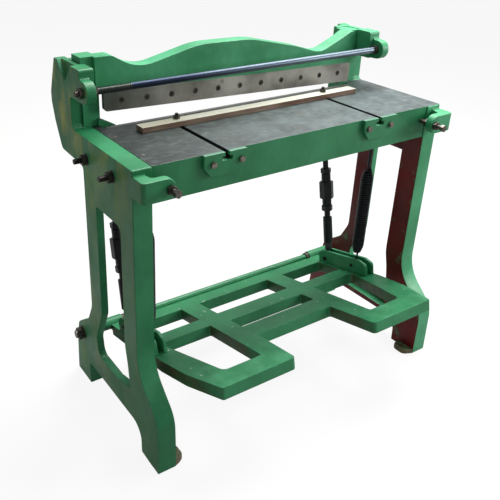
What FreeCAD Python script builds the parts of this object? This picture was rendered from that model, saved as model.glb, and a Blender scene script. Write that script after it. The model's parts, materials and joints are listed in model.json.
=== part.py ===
import FreeCAD
import Part
import math
import os

# A foot-operated guillotine shear for sheet metal: two cast side frames carry a bed with a fixed blade.
# A crosshead with the moving blade slides in the frames, drawn down by a treadle through two turnbuckle
# links and lifted again by two long springs.
# Millimetres. X runs along the blades, Y from the bed's front edge to the rear, Z up from the floor.
# Every piece is built for the right side (+X) and mirrored for the left where it comes in pairs.

# Bed
BED_LENGTH = 1000.0
BED_TOP = 895.0
CUT_Y = 325.0
APRON_HEIGHT = 103.0
BED_PLATE = 30.0
APRON_WALL = 22.0
BED_END_WALL = 26.0
BED_RIB = 14.0
CHEEK_BEHIND_CUT = 24.0
CORNER_WEB_REACH = 45.0
CORNER_WEB_PAST_BLADE = 12.0
CORNER_WEB_RISE = 20.0
CORNER_WEB_DEPTH = 46.0
CORNER_WEB_T = 10.0
SLOT_X = 280.0
SLOT_W = 14.0
SLOT_HEAD_W = 32.0
SLOT_NECK_H = 12.0
SLOT_HEAD_H = 11.0
SLOT_END_Y = 280.0
SLOT_RIB_W = 56.0
SLOT_RIB_DROP = 18.0

# Pads bolted to the apron round the mouths of the T-slots
PAD_OFFSET_X = 5.0
PAD_TOP_W = 136.0
PAD_BOTTOM_W = 92.0
PAD_HEIGHT = 63.0
PAD_T = 12.0
PAD_BOLT_SPREAD = 45.0
PAD_BOLT_DROP = 28.0
PAD_BOLT_R = 5.0
PAD_BOLT_HEAD_AF = 16.0
PAD_BOLT_HEAD_H = 8.0
PAD_BOLT_DEPTH = 26.0

# Blades
BLADE_END_MARGIN = 30.0
BLADE_T = 12.0
LOWER_BLADE_H = 62.0
UPPER_BLADE_OPEN_LEFT = 44.0
UPPER_BLADE_OPEN_RIGHT = 10.0
UPPER_BLADE_H_LEFT = 54.0
UPPER_BLADE_H_RIGHT = 63.0
BLADE_CORNER = 8.0
BLADE_GAP = 0.2
BLADE_BOLTS = 11
BLADE_BOLT_FROM_END = 54.5
BLADE_BOLT_HEAD_R = 9.0
BLADE_BOLT_HEAD_H = 7.0
BLADE_BOLT_SOCKET_AF = 8.0
BLADE_BOLT_SOCKET_H = 3.0
BLADE_BOLT_R = 5.0
BLADE_BOLT_DEPTH = 24.0
BLADE_BOLT_ABOVE_EDGE_LEFT = 28.0
BLADE_BOLT_ABOVE_EDGE_RIGHT = 33.0

# Side frames
FRAME_W = 57.0
PLATE_T = 24.0
GUIDE_WALL = 34.0
RIM = 18.0
LEG_FRONT_Y = -4.0
LEG_BACK_Y = 295.0
FOOT_FRONT_Y = -120.0
FOOT_LENGTH = 103.0
REAR_FOOT_FRONT_Y = 339.0
ARCH_Z = 90.0
WINDOW_FRONT_Y = 72.0
WINDOW_BACK_Y = 220.0
WINDOW_TOP_DROP = 83.0
WINDOW_SILL_Z = 170.0
WALL_BEHIND_CHEEK = 6.0
POST_BEHIND_TONGUE = 88.0
POST_TOP_RISE = 181.0
POST_UNDERSIDE_DROP = 92.0
FOOT_LUG_REACH = 35.0
FOOT_LUG_T = 18.0
FOOT_LUG_BACK_Y = -50.0
FLOOR_BOLT_R = 7.0
FLOOR_BOLT_Y = -78.0
FLOOR_BOLT_IN = 18.0

# Front lugs and their adjusting screws
LUG_FRONT_Y = -57.0
LUG_T = 25.0
LUG_TOP_DROP = 15.0
LUG_H = 58.0
LUG_REACH = 38.0
ADJUSTER_IN = 16.0
ADJUSTER_DROP = 45.0
ADJUSTER_R = 7.0
ADJUSTER_NUT_AF = 24.0
ADJUSTER_NUT_H = 11.0
ADJUSTER_HEAD_AF = 19.0
ADJUSTER_HEAD_H = 12.0
ADJUSTER_OUT = 26.0

# Crosshead guide, front block, ear and notch at the top of each frame
GUIDE_GAP = 0.3
BLOCK_FRONT_Y = 286.0
BLOCK_W = 45.0
BLOCK_RISE = 105.0
EAR_T = 29.0
EAR_R = 31.0
TIE_ROD_AHEAD = 18.0
TIE_ROD_RISE = 124.0
TIE_ROD_R = 10.0
TIE_ROD_END_R = 8.0
TIE_ROD_NUT_AF = 26.0
TIE_ROD_NUT_H = 13.0
TIE_ROD_TIP = 9.0
RAIL_W = 43.0
RAIL_T = 20.0
NOTCH_T = 15.0
NOTCH_DEPTH = 54.0

# Crosshead
TONGUE_PAST_BLADE = 1.0
TONGUE_BEHIND_CHEEK = 1.0
TONGUE_DEPTH = 62.0
TONGUE_FOOT = 20.0
BEAM_T = 50.0
BEAM_LAP = 16.0
BEAM_BELOW_BLADE_TOP = 1.0
BEAM_H_LEFT = 100.0
BEAM_H_RIGHT = 106.0
SHOULDER_LEFT_W = 53.0
SHOULDER_RIGHT_W = 16.0
DIP_LEFT_IN = 135.0
DIP_LEFT_DEPTH = 46.0
DIP_RIGHT_IN = 147.0
DIP_RIGHT_DEPTH = 57.0
CROWN_LEFT_X = -145.0
CROWN_RIGHT_X = 45.0
CROWN_OVER_LEFT = 1.0

# Treadle, in its own plane: U forward from the shaft's axis, N square to the plane, up
SHAFT_Y = 382.0
SHAFT_Z = 182.0
SHAFT_R = 12.5
SHAFT_CLEARANCE = 0.05
SHAFT_NUT_AF = 36.0
SHAFT_NUT_H = 18.0
SHAFT_TIP = 6.0
WASHER_T = 3.0
HUB_R = 20.0
HUB_IN = 11.0
COLLAR_R = 17.0
COLLAR_W = 12.0
COLLAR_RELIEF = 2.0
TREADLE_TILT = 12.7
SLAB_T = 38.0
BACK_EDGE_U = 14.0
BACK_BAR_U = 80.0
SECOND_BAR_U = 195.0
SECOND_BAR_MID_W = 76.0
SECOND_BAR_SIDE_W = 62.0
FRONT_BAR_U = 336.0
FRONT_BAR_END_U = 417.0
PAD_FRONT_U = 605.0
CROSS_BAR_X = 150.0
CROSS_BAR_W = 73.0
TREADLE_SIDE_GAP = 40.0
END_BAR_W = 55.0
PAD_HOLE_FRONT_U = 526.0

# Bracket plates on the treadle, with the link's and the spring's pins
NEAR_PLATE_IN = 10.0
BRACKET_GAP = 20.0
BRACKET_T = 11.0
BRACKET_BACK_U = 73.0
BRACKET_FRONT_U = 318.0
BRACKET_H = 50.0
LINK_PIN_U = 106.5
LINK_PIN_N = 18.0
LINK_PIN_R = 8.0
LINK_PIN_FREE = 3.0
SPRING_PIN_U = 247.0
SPRING_PIN_N = 26.0
SPRING_PIN_R = 6.0
PIN_HEAD = 3.0

# Links
UPPER_PIN_BEHIND = 45.0
UPPER_PIN_DROP = 105.0
UPPER_BOSS_R = 15.0
UPPER_PIN_R = 10.0
UPPER_PIN_CLEARANCE = 0.05
UPPER_EYE_R = 20.0
LINK_EYE_T = 13.0
LOWER_EYE_R = 15.5
LOWER_ROD_R = 17.0
LOWER_ROD_TOP = 165.0
SHANK_TOP = 64.0
LOWER_THREAD_R = 11.0
LOWER_NUT_LOW = 190.0
LOWER_NUT_H = 23.0
LOWER_NUT_AF = 36.0
SLEEVE_R = 17.0
SLEEVE_LOW = 214.0
SLEEVE_HEX_LOW = 239.0
SLEEVE_HEX_AF = 46.0
SLEEVE_HEX_H = 68.0
SLEEVE_H = 123.0
UPPER_NUT_H = 20.0
UPPER_NUT_AF = 34.0
UPPER_ROD_R = 10.0
THREAD_IN_SLEEVE = 45.0
ROD_CLEARANCE = 0.3
FACE_GAP = 0.3

# Return springs
SPRING_R = 22.0
SPRING_WIRE = 7.2
SPRING_TURNS = 40
SPRING_CONE_TURNS = 5
SPRING_TIP_R = 9.0
ANCHOR_DROP = 139.0
SPRING_LOW_TAIL = 20.0
HOOK_STEM = 4.0
ANCHOR_R = 6.0
ANCHOR_BOSS_R = 18.0
ANCHOR_NUT_AF = 19.0
ANCHOR_NUT_H = 10.0
EYE_R = 11.0

# Fasteners of the bed and the gauge bar
STUD_R = 8.0
STUD_OUT = 38.0
STUD_NUT_AF = 26.0
STUD_NUT_H = 14.0
STUD_WASHER_R = 17.0
STUD_REAR_Y = 268.0
STUD_REAR_DROP = 62.0
STUD_FRONT_Y = 108.0
STUD_FRONT_DROP = 55.0
TOP_SCREW_IN = 20.0
TOP_SCREW_REAR_Y = 238.0
TOP_SCREW_FRONT_Y = 77.0
TOP_SCREW_R = 5.5
TOP_SCREW_DEPTH = 10.0
GAUGE_HALF = 405.0
GAUGE_FRONT_Y = 220.0
GAUGE_W = 37.0
GAUGE_H = 16.0
GAUGE_STUD_BACK = 26.0
T_HEAD_LENGTH = 22.0
T_HEAD_SIDE = 1.0
T_HEAD_UNDER = 0.8
GAUGE_STUD_R = 5.0
GAUGE_STUD_OUT = 16.0
GAUGE_NUT_AF = 17.0
GAUGE_NUT_H = 8.0
GAUGE_WASHER_R = 10.0
SLIDE_GAP = 0.4
BOLT_CLEARANCE = 0.1

# Places that follow from the sizes above
BED_HALF = BED_LENGTH / 2
BLADE_HALF = BED_HALF - BLADE_END_MARGIN
FRAME_OUT = BED_HALF + FRAME_W
PLATE_IN = FRAME_OUT - PLATE_T
GUIDE_IN = FRAME_OUT - GUIDE_WALL
BLOCK_INNER_X = FRAME_OUT - BLOCK_W
RAIL_INNER_X = GUIDE_IN - RAIL_W
APRON_LOW = BED_TOP - APRON_HEIGHT
BED_BACK_Y = CUT_Y - BLADE_T - BLADE_GAP
CHEEK_BACK_Y = CUT_Y + CHEEK_BEHIND_CUT
BLADE_BOLT_PITCH = 2 * (BLADE_HALF - BLADE_BOLT_FROM_END) / (BLADE_BOLTS - 1)
CORNER_WEB_INNER_X = BLADE_HALF - CORNER_WEB_REACH
CORNER_WEB_OUTER_X = BLADE_HALF + CORNER_WEB_PAST_BLADE
PAD_CENTRE_X = SLOT_X + PAD_OFFSET_X
UPPER_BLADE_LOW_LEFT = BED_TOP + UPPER_BLADE_OPEN_LEFT
UPPER_BLADE_LOW_RIGHT = BED_TOP + UPPER_BLADE_OPEN_RIGHT
TONGUE_INNER_X = BLADE_HALF + TONGUE_PAST_BLADE
TONGUE_OUT_X = GUIDE_IN - GUIDE_GAP
TONGUE_FRONT_Y = CHEEK_BACK_Y + TONGUE_BEHIND_CHEEK
TONGUE_BACK_Y = TONGUE_FRONT_Y + TONGUE_DEPTH
BEAM_FRONT_Y = CUT_Y + BLADE_T
BEAM_HALF = TONGUE_INNER_X + BEAM_LAP
BEAM_LOW_LEFT = UPPER_BLADE_LOW_LEFT + UPPER_BLADE_H_LEFT - BEAM_BELOW_BLADE_TOP
BEAM_LOW_RIGHT = UPPER_BLADE_LOW_RIGHT + UPPER_BLADE_H_RIGHT - BEAM_BELOW_BLADE_TOP
BEAM_TOP_LEFT = BEAM_LOW_LEFT + BEAM_H_LEFT
BEAM_TOP_RIGHT = BEAM_LOW_RIGHT + BEAM_H_RIGHT
FOOT_HEEL_Y = FOOT_FRONT_Y + FOOT_LENGTH
REAR_FOOT_BACK_Y = REAR_FOOT_FRONT_Y + FOOT_LENGTH
WALL_FRONT_Y = CHEEK_BACK_Y + WALL_BEHIND_CHEEK
POST_BACK_Y = TONGUE_BACK_Y + POST_BEHIND_TONGUE
WINDOW_TOP_Z = APRON_LOW - WINDOW_TOP_DROP
FOOT_LUG_INNER_X = BED_HALF - FOOT_LUG_REACH
FLOOR_BOLT_X = FOOT_LUG_INNER_X + FLOOR_BOLT_IN
LUG_END_X = BED_HALF - LUG_REACH
ADJUSTER_X = LUG_END_X + ADJUSTER_IN
TIE_ROD_Y = BLOCK_FRONT_Y - TIE_ROD_AHEAD
POST_TOP = BED_TOP + POST_TOP_RISE
POST_LOW = BED_TOP - POST_UNDERSIDE_DROP
TIE_ROD_Z = BED_TOP + TIE_ROD_RISE
BLOCK_LOW = BED_TOP + BLOCK_RISE
UPPER_PIN_Y = TONGUE_FRONT_Y + UPPER_PIN_BEHIND
UPPER_PIN_Z = BED_TOP - UPPER_PIN_DROP
TONGUE_LOW_Z = UPPER_PIN_Z - TONGUE_FOOT
TILT = math.radians(TREADLE_TILT)
TREADLE_FRONT_Y = SHAFT_Y - PAD_FRONT_U * math.cos(TILT) - SLAB_T * math.sin(TILT)
MID_Y = (POST_BACK_Y + TREADLE_FRONT_Y) / 2
END_BAR_OUT_X = BED_HALF - TREADLE_SIDE_GAP
END_BAR_X = END_BAR_OUT_X - END_BAR_W
NEAR_PLATE_X = END_BAR_X + NEAR_PLATE_IN
FAR_PLATE_X = NEAR_PLATE_X + BRACKET_T + BRACKET_GAP
LINK_X = NEAR_PLATE_X + BRACKET_T + BRACKET_GAP / 2
HUB_INNER_X = END_BAR_X + HUB_IN
HUB_OUT_X = PLATE_IN - 2 * WASHER_T
SPRING_Y = SHAFT_Y - SPRING_PIN_U * math.cos(TILT) + SPRING_PIN_N * math.sin(TILT)
SPRING_PIN_Z = SHAFT_Z + SPRING_PIN_U * math.sin(TILT) + SPRING_PIN_N * math.cos(TILT)
SPRING_LOW_Z = SPRING_PIN_Z + EYE_R + HOOK_STEM
SPRING_TOP_Z = APRON_LOW - ANCHOR_DROP
TOP_SCREW_X = BED_HALF - TOP_SCREW_IN
GAUGE_STUD_Y = GAUGE_FRONT_Y + GAUGE_STUD_BACK


def vec(x, y, z):
    return FreeCAD.Vector(x, y, z)


def corner_round(before, corner, after):
    """Start, middle and end of the arc that rounds one corner, as pairs."""
    a, b, radius = corner
    to_before = FreeCAD.Vector(before[0] - a, before[1] - b, 0).normalize()
    to_after = FreeCAD.Vector(after[0] - a, after[1] - b, 0).normalize()
    half = to_before.getAngle(to_after) / 2
    if radius <= 0 or half > math.pi / 2 - 0.001:
        return [(a, b)]
    back = radius / math.tan(half)
    bisector = (to_before + to_after).normalize()
    reach = radius / math.sin(half) - radius
    return [
        (a + to_before.x * back, b + to_before.y * back),
        (a + bisector.x * reach, b + bisector.y * reach),
        (a + to_after.x * back, b + to_after.y * back),
    ]


def outline(corners, place):
    """Flat face with rounded corners: corners are (a, b, radius) and place(a, b) gives the point."""
    count = len(corners)
    rounds = []
    for i, corner in enumerate(corners):
        rounds.append(corner_round(corners[i - 1], corner, corners[(i + 1) % count]))
    edges = []
    for i, this in enumerate(rounds):
        if len(this) == 3:
            edges.append(Part.Arc(*(place(*p) for p in this)).toShape())
        start = place(*this[-1])
        end = place(*rounds[(i + 1) % count][0])
        if start.distanceToPoint(end) > 0.001:
            edges.append(Part.makeLine(start, end))
    return Part.Face(Part.Wire(edges))


def across(corners, x_from, x_to):
    """Solid with its outline in the YZ plane, from x_from to x_to."""
    face = outline(corners, lambda a, b: vec(x_from, a, b))
    return face.extrude(vec(x_to - x_from, 0, 0))


def through(corners, y_from, y_to):
    """Solid with its outline in the XZ plane, from y_from to y_to."""
    face = outline(corners, lambda a, b: vec(a, y_from, b))
    return face.extrude(vec(0, y_to - y_from, 0))


def upright(corners, z_from, z_to):
    """Solid with its outline in the XY plane, from z_from to z_to."""
    face = outline(corners, lambda a, b: vec(a, b, z_from))
    return face.extrude(vec(0, 0, z_to - z_from))


def block(x0, x1, y0, y1, z0, z1):
    return Part.makeBox(x1 - x0, y1 - y0, z1 - z0, vec(x0, y0, z0))


def rod(radius, start, end):
    run = end - start
    return Part.makeCylinder(radius, run.Length, start, run)


def ring(outer, inner, start, end):
    run = end - start
    beyond = run.normalize() * 1.0
    return rod(outer, start, end).cut(rod(inner, start - beyond, end + beyond))


def hexagon(across_flats, start, end):
    run = end - start
    radius = across_flats / math.sqrt(3)
    corners = []
    for i in range(6):
        turn = math.radians(30 + 60 * i)
        corners.append((radius * math.cos(turn), radius * math.sin(turn), 0))
    prism = upright(corners, 0, run.Length)
    prism.Placement = FreeCAD.Placement(start, FreeCAD.Rotation(vec(0, 0, 1), run))
    return prism


def nut(across_flats, bore, start, end):
    beyond = (end - start).normalize() * 1.0
    return hexagon(across_flats, start, end).cut(rod(bore, start - beyond, end + beyond))


def fused(first, others):
    return first.fuse(others).removeSplitter()


def mirrored(shape):
    return shape.mirror(vec(0, 0, 0), vec(1, 0, 0))


def both_sides(shapes):
    """The given right-hand solids and their left-hand twins, as one group."""
    twins = [mirrored(s) for s in shapes]
    return Part.makeCompound(shapes + twins)


def on_treadle(shape):
    """Moves a piece built flat, with the shaft's axis along X at the origin, to its rest tilt."""
    turned = shape.copy()
    turned.rotate(vec(0, 0, 0), vec(1, 0, 0), -TREADLE_TILT)
    turned.translate(vec(0, SHAFT_Y, SHAFT_Z))
    return turned


def treadle_point(u, n):
    """Y and Z of a point of the treadle at rest."""
    y = SHAFT_Y - u * math.cos(TILT) + n * math.sin(TILT)
    z = SHAFT_Z + u * math.sin(TILT) + n * math.cos(TILT)
    return y, z


def on_link(shape):
    """Moves a piece built along Z, with the lower pin's axis along X at the origin, to the right-hand link."""
    pin_y, pin_z = treadle_point(LINK_PIN_U, LINK_PIN_N)
    lean = math.degrees(math.atan2(UPPER_PIN_Y - pin_y, UPPER_PIN_Z - pin_z))
    placed = shape.copy()
    placed.rotate(vec(0, 0, 0), vec(1, 0, 0), -lean)
    placed.translate(vec(LINK_X, pin_y, pin_z))
    return placed


def link_length():
    pin_y, pin_z = treadle_point(LINK_PIN_U, LINK_PIN_N)
    return math.hypot(UPPER_PIN_Y - pin_y, UPPER_PIN_Z - pin_z)


# Side frame


def frame_front_edge():
    """Front of the leg, from the band's top down to the toe."""
    return [
        (LEG_FRONT_Y, BED_TOP, 5),
        (LEG_FRONT_Y, 287, 140),
        (FOOT_FRONT_Y + 1, 181, 90),
        (FOOT_FRONT_Y, 0, 4),
        (FOOT_HEEL_Y, 0, 4),
        (FOOT_HEEL_Y + 3, ARCH_Z, 50),
    ]


def frame_outline():
    """Outer edge of the casting: leg, feet, arch, post with the ear, and band."""
    return frame_front_edge() + [
        (REAR_FOOT_FRONT_Y, ARCH_Z - 4, 14),
        (REAR_FOOT_FRONT_Y, 0, 4),
        (REAR_FOOT_BACK_Y, 0, 4),
        (REAR_FOOT_BACK_Y - 9, 120, 60),
        (REAR_FOOT_BACK_Y - 28, 208, 40),
        (LEG_BACK_Y + 34, 270, 40),
        (LEG_BACK_Y, 336, 60),
        (LEG_BACK_Y, POST_LOW, 15),
        (POST_BACK_Y - 58, POST_LOW + 6, 20),
        (POST_BACK_Y - 18, BED_TOP - 10, 80),
        (POST_BACK_Y, BED_TOP + 45, 30),
        (POST_BACK_Y, BED_TOP + 75, 30),
        (POST_BACK_Y - 42, POST_TOP, 5),
        (BLOCK_FRONT_Y, POST_TOP, 8),
        (BLOCK_FRONT_Y, TIE_ROD_Z + EAR_R, 8),
        (TIE_ROD_Y - EAR_R, TIE_ROD_Z + EAR_R, EAR_R - 1),
        (TIE_ROD_Y - EAR_R, TIE_ROD_Z - EAR_R, EAR_R - 1),
        (WALL_FRONT_Y, TIE_ROD_Z - EAR_R, 8),
        (WALL_FRONT_Y, BED_TOP, 15),
    ]


def window_front_edge():
    return [
        (WINDOW_FRONT_Y - 26, WINDOW_SILL_Z + 23, 8),
        (WINDOW_FRONT_Y - 14, 276, 150),
        (WINDOW_FRONT_Y, 335, 150),
    ]


def window_outline():
    """Opening between the legs, wider at its foot."""
    return window_front_edge() + [
        (WINDOW_FRONT_Y, WINDOW_TOP_Z, 22),
        (WINDOW_BACK_Y, WINDOW_TOP_Z, 5),
        (WINDOW_BACK_Y, 348, 60),
        (WINDOW_BACK_Y + 50, 232, 25),
        (WINDOW_BACK_Y + 40, WINDOW_SILL_Z, 30),
        (WINDOW_BACK_Y - 80, WINDOW_SILL_Z, 120),
    ]


def inner_recess():
    """Where the casting is one plate thick: behind the solid front leg, between the band and the feet."""
    return [
        (WINDOW_FRONT_Y, APRON_LOW - RIM, 10),
        *reversed(window_front_edge()),
        (WINDOW_FRONT_Y - 34, ARCH_Z + RIM, 20),
        (POST_BACK_Y, ARCH_Z + RIM, 0),
        (POST_BACK_Y, APRON_LOW - RIM, 0),
    ]


def frame_slab():
    """The casting before its holes: full width at the front leg, band and rims, thinner behind."""
    slab = across(frame_outline(), BED_HALF, FRAME_OUT)
    slab = slab.cut(across(inner_recess(), BED_HALF - 1, PLATE_IN))
    behind_band = block(BED_HALF - 1, GUIDE_IN, CHEEK_BACK_Y, POST_BACK_Y + 1, POST_LOW - 20, POST_TOP + 1)
    ear_side = block(BED_HALF - 1, FRAME_OUT - EAR_T, 0, BLOCK_FRONT_Y, BED_TOP + 1, POST_TOP + 1)
    block_side = block(
        BED_HALF - 1, BLOCK_INNER_X, BLOCK_FRONT_Y - 1, CHEEK_BACK_Y + 1, BLOCK_LOW - 40, POST_TOP + 1
    )
    return slab.cut([behind_band, ear_side, block_side, across(window_outline(), BED_HALF - 1, FRAME_OUT + 1)])


def guide_cut():
    """Space in the frame that the crosshead's tongue slides in."""
    return block(
        BED_HALF - 1, GUIDE_IN,
        TONGUE_FRONT_Y - GUIDE_GAP, TONGUE_BACK_Y + GUIDE_GAP,
        POST_LOW - 20, POST_TOP + 1,
    )


def guide_rail():
    """Rib that carries the tongue's back face."""
    return block(
        RAIL_INNER_X, GUIDE_IN,
        TONGUE_BACK_Y + GUIDE_GAP, TONGUE_BACK_Y + GUIDE_GAP + RAIL_T,
        POST_LOW + 30, POST_TOP,
    )


def outer_notch():
    """V-shaped pocket in the outer face, open at the top."""
    tip = TONGUE_FRONT_Y + 38
    return across(
        [
            (tip - 45, POST_TOP + 1, 0),
            (tip, POST_TOP - NOTCH_DEPTH, 6),
            (tip + 51, POST_TOP + 1, 0),
        ],
        FRAME_OUT - NOTCH_T, FRAME_OUT + 1,
    )


def foot_lug():
    """Floor lug that runs inward from the front foot."""
    lug = upright(
        [
            (FOOT_LUG_INNER_X, FOOT_LUG_BACK_Y - 6, 18),
            (FOOT_LUG_INNER_X, FOOT_FRONT_Y + 14, 22),
            (BED_HALF + 2, FOOT_FRONT_Y + 2, 0),
            (BED_HALF + 2, FOOT_LUG_BACK_Y, 0),
        ],
        0, FOOT_LUG_T,
    )
    hole = rod(FLOOR_BOLT_R, vec(FLOOR_BOLT_X, FLOOR_BOLT_Y, -1), vec(FLOOR_BOLT_X, FLOOR_BOLT_Y, FOOT_LUG_T + 1))
    return lug.cut(hole)


def front_lug():
    """Arm that runs forward from the band and inward in front of the apron."""
    top = BED_TOP - LUG_TOP_DROP
    low = top - LUG_H
    plan = upright(
        [
            (FRAME_OUT, LEG_FRONT_Y + 4, 0),
            (FRAME_OUT, LUG_FRONT_Y, 12),
            (LUG_END_X, LUG_FRONT_Y, 0),
            (LUG_END_X, LUG_FRONT_Y + LUG_T, 0),
            (BED_HALF + 18, LUG_FRONT_Y + LUG_T, 12),
            (BED_HALF + 24, LEG_FRONT_Y + 4, 0),
        ],
        low, top,
    )
    front = through(
        [
            (LUG_END_X, low, LUG_H / 2 - 1),
            (FRAME_OUT, low, 0),
            (FRAME_OUT, top, 0),
            (LUG_END_X, top, LUG_H / 2 - 1),
        ],
        LUG_FRONT_Y - 1, LEG_FRONT_Y + 5,
    )
    return plan.common(front)


def adjuster_axis(y):
    return vec(ADJUSTER_X, y, BED_TOP - ADJUSTER_DROP)


def stud_places():
    return [(STUD_REAR_Y, BED_TOP - STUD_REAR_DROP), (STUD_FRONT_Y, BED_TOP - STUD_FRONT_DROP)]


def side_frame():
    frame = frame_slab().cut(guide_cut())
    frame = frame.fuse([guide_rail(), foot_lug(), front_lug()])
    holes = [outer_notch()]
    for y, z in stud_places():
        holes.append(rod(STUD_R + BOLT_CLEARANCE, vec(BED_HALF - 1, y, z), vec(FRAME_OUT + 1, y, z)))
    holes.append(
        rod(TIE_ROD_END_R + BOLT_CLEARANCE, vec(BED_HALF, TIE_ROD_Y, TIE_ROD_Z), vec(FRAME_OUT + 1, TIE_ROD_Y, TIE_ROD_Z))
    )
    holes.append(
        rod(SHAFT_R + BOLT_CLEARANCE, vec(BED_HALF - 1, SHAFT_Y, SHAFT_Z), vec(FRAME_OUT + 1, SHAFT_Y, SHAFT_Z))
    )
    holes.append(rod(ADJUSTER_R + ROD_CLEARANCE, adjuster_axis(LUG_FRONT_Y - 1), adjuster_axis(LUG_FRONT_Y + LUG_T + 1)))
    return frame.cut(holes).removeSplitter()


# Bed


def slot_cut():
    """T-slot from the front edge to its closed end."""
    front = -PAD_T - 1
    neck = block(SLOT_X - SLOT_W / 2, SLOT_X + SLOT_W / 2, front, SLOT_END_Y, BED_TOP - SLOT_NECK_H - 1, BED_TOP + 1)
    head_top = BED_TOP - SLOT_NECK_H
    head = block(
        SLOT_X - SLOT_HEAD_W / 2, SLOT_X + SLOT_HEAD_W / 2, front, SLOT_END_Y, head_top - SLOT_HEAD_H, head_top
    )
    return neck.fuse(head)


def bed_hollow():
    """Space under the table plate, in three bays between the ribs under the T-slots."""
    low = APRON_LOW - 1
    top = BED_TOP - BED_PLATE
    y0 = APRON_WALL
    y1 = BED_BACK_Y - APRON_WALL
    rib = BED_RIB / 2
    edges = [-BED_HALF + BED_END_WALL, -SLOT_X - rib, -SLOT_X + rib, SLOT_X - rib, SLOT_X + rib, BED_HALF - BED_END_WALL]
    bays = []
    for x0, x1 in zip(edges[::2], edges[1::2]):
        bays.append(block(x0, x1, y0, y1, low, top))
    return bays


def slot_rib():
    """Thicker stretch of the table plate under a T-slot."""
    low = BED_TOP - BED_PLATE - SLOT_RIB_DROP
    return block(SLOT_X - SLOT_RIB_W / 2, SLOT_X + SLOT_RIB_W / 2, APRON_WALL, BED_BACK_Y - APRON_WALL, low, BED_TOP - BED_PLATE)


def bed_corner():
    """End of the bed behind the blade: a cheek that guides the tongue, and a thin web toward the middle."""
    cheek = block(BLADE_HALF + 4, BED_HALF, BED_BACK_Y - 1, CHEEK_BACK_Y, APRON_LOW, BED_TOP)
    web = through(
        [
            (BED_HALF, BED_TOP - CORNER_WEB_DEPTH, 0),
            (BED_HALF, BED_TOP, 0),
            (CORNER_WEB_OUTER_X, BED_TOP, 0),
            (CORNER_WEB_OUTER_X, BED_TOP + CORNER_WEB_RISE, 4),
            (CORNER_WEB_OUTER_X - 10, BED_TOP + CORNER_WEB_RISE, 4),
            (CORNER_WEB_INNER_X, BED_TOP - 6, 3),
        ],
        CHEEK_BACK_Y - CORNER_WEB_T, CHEEK_BACK_Y,
    )
    return [cheek, web]


def anchor_boss():
    """Boss under the table plate for the spring's anchor."""
    return rod(ANCHOR_BOSS_R, vec(LINK_X, SPRING_Y, APRON_LOW), vec(LINK_X, SPRING_Y, BED_TOP - BED_PLATE))


def blade_bolt_xs():
    half = (BLADE_BOLTS - 1) / 2
    return [(i - half) * BLADE_BOLT_PITCH for i in range(BLADE_BOLTS)]


def lower_bolt_z():
    return BED_TOP - LOWER_BLADE_H / 2


def bed():
    solid = block(-BED_HALF, BED_HALF, 0, BED_BACK_Y, APRON_LOW, BED_TOP)
    solid = solid.cut(bed_hollow())
    right = [slot_rib(), anchor_boss()] + bed_corner()
    solid = solid.fuse(right + [mirrored(s) for s in right])
    cuts = [slot_cut()]
    for x in blade_bolt_xs():
        if x > -1:
            y_end = BED_BACK_Y - BLADE_BOLT_DEPTH
            cuts.append(rod(BLADE_BOLT_R + BOLT_CLEARANCE, vec(x, y_end, lower_bolt_z()), vec(x, BED_BACK_Y + 1, lower_bolt_z())))
    for y, z in stud_places():
        cuts.append(rod(STUD_R + BOLT_CLEARANCE, vec(BED_HALF - BED_END_WALL - 1, y, z), vec(BED_HALF + 1, y, z)))
    for y in (TOP_SCREW_FRONT_Y, TOP_SCREW_REAR_Y):
        cuts.append(rod(TOP_SCREW_R + BOLT_CLEARANCE, vec(TOP_SCREW_X, y, BED_TOP - TOP_SCREW_DEPTH), vec(TOP_SCREW_X, y, BED_TOP + 1)))
    for x in pad_bolt_xs():
        z = BED_TOP - PAD_BOLT_DROP
        cuts.append(rod(PAD_BOLT_R + BOLT_CLEARANCE, vec(x, -1, z), vec(x, PAD_BOLT_DEPTH - PAD_T, z)))
    cuts.append(rod(ANCHOR_R + BOLT_CLEARANCE, vec(LINK_X, SPRING_Y, APRON_LOW - 1), vec(LINK_X, SPRING_Y, APRON_LOW + 40)))
    left = [mirrored(c) for c in cuts]
    return solid.cut(cuts + left).removeSplitter()


def pad_bolt_xs():
    return [SLOT_X - PAD_BOLT_SPREAD, SLOT_X + PAD_BOLT_SPREAD]


def slot_pad():
    half_top = PAD_TOP_W / 2
    half_low = PAD_BOTTOM_W / 2
    low = BED_TOP - PAD_HEIGHT
    face = through(
        [
            (PAD_CENTRE_X - half_top, BED_TOP, 3),
            (PAD_CENTRE_X - half_top, low + PAD_HEIGHT * 0.45, 10),
            (PAD_CENTRE_X - half_low, low, 16),
            (PAD_CENTRE_X + half_low, low, 16),
            (PAD_CENTRE_X + half_top, low + PAD_HEIGHT * 0.45, 10),
            (PAD_CENTRE_X + half_top, BED_TOP, 3),
        ],
        -PAD_T, 0,
    )
    holes = [slot_cut()]
    for x in pad_bolt_xs():
        z = BED_TOP - PAD_BOLT_DROP
        holes.append(rod(PAD_BOLT_R + BOLT_CLEARANCE, vec(x, -PAD_T - 1, z), vec(x, 1, z)))
    return face.cut(holes)


def pad_bolt(x):
    z = BED_TOP - PAD_BOLT_DROP
    head = hexagon(PAD_BOLT_HEAD_AF, vec(x, -PAD_T - PAD_BOLT_HEAD_H, z), vec(x, -PAD_T, z))
    shank = rod(PAD_BOLT_R, vec(x, -PAD_T - 1, z), vec(x, PAD_BOLT_DEPTH - PAD_T - 1, z))
    return head.fuse(shank)


# Blades


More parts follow.
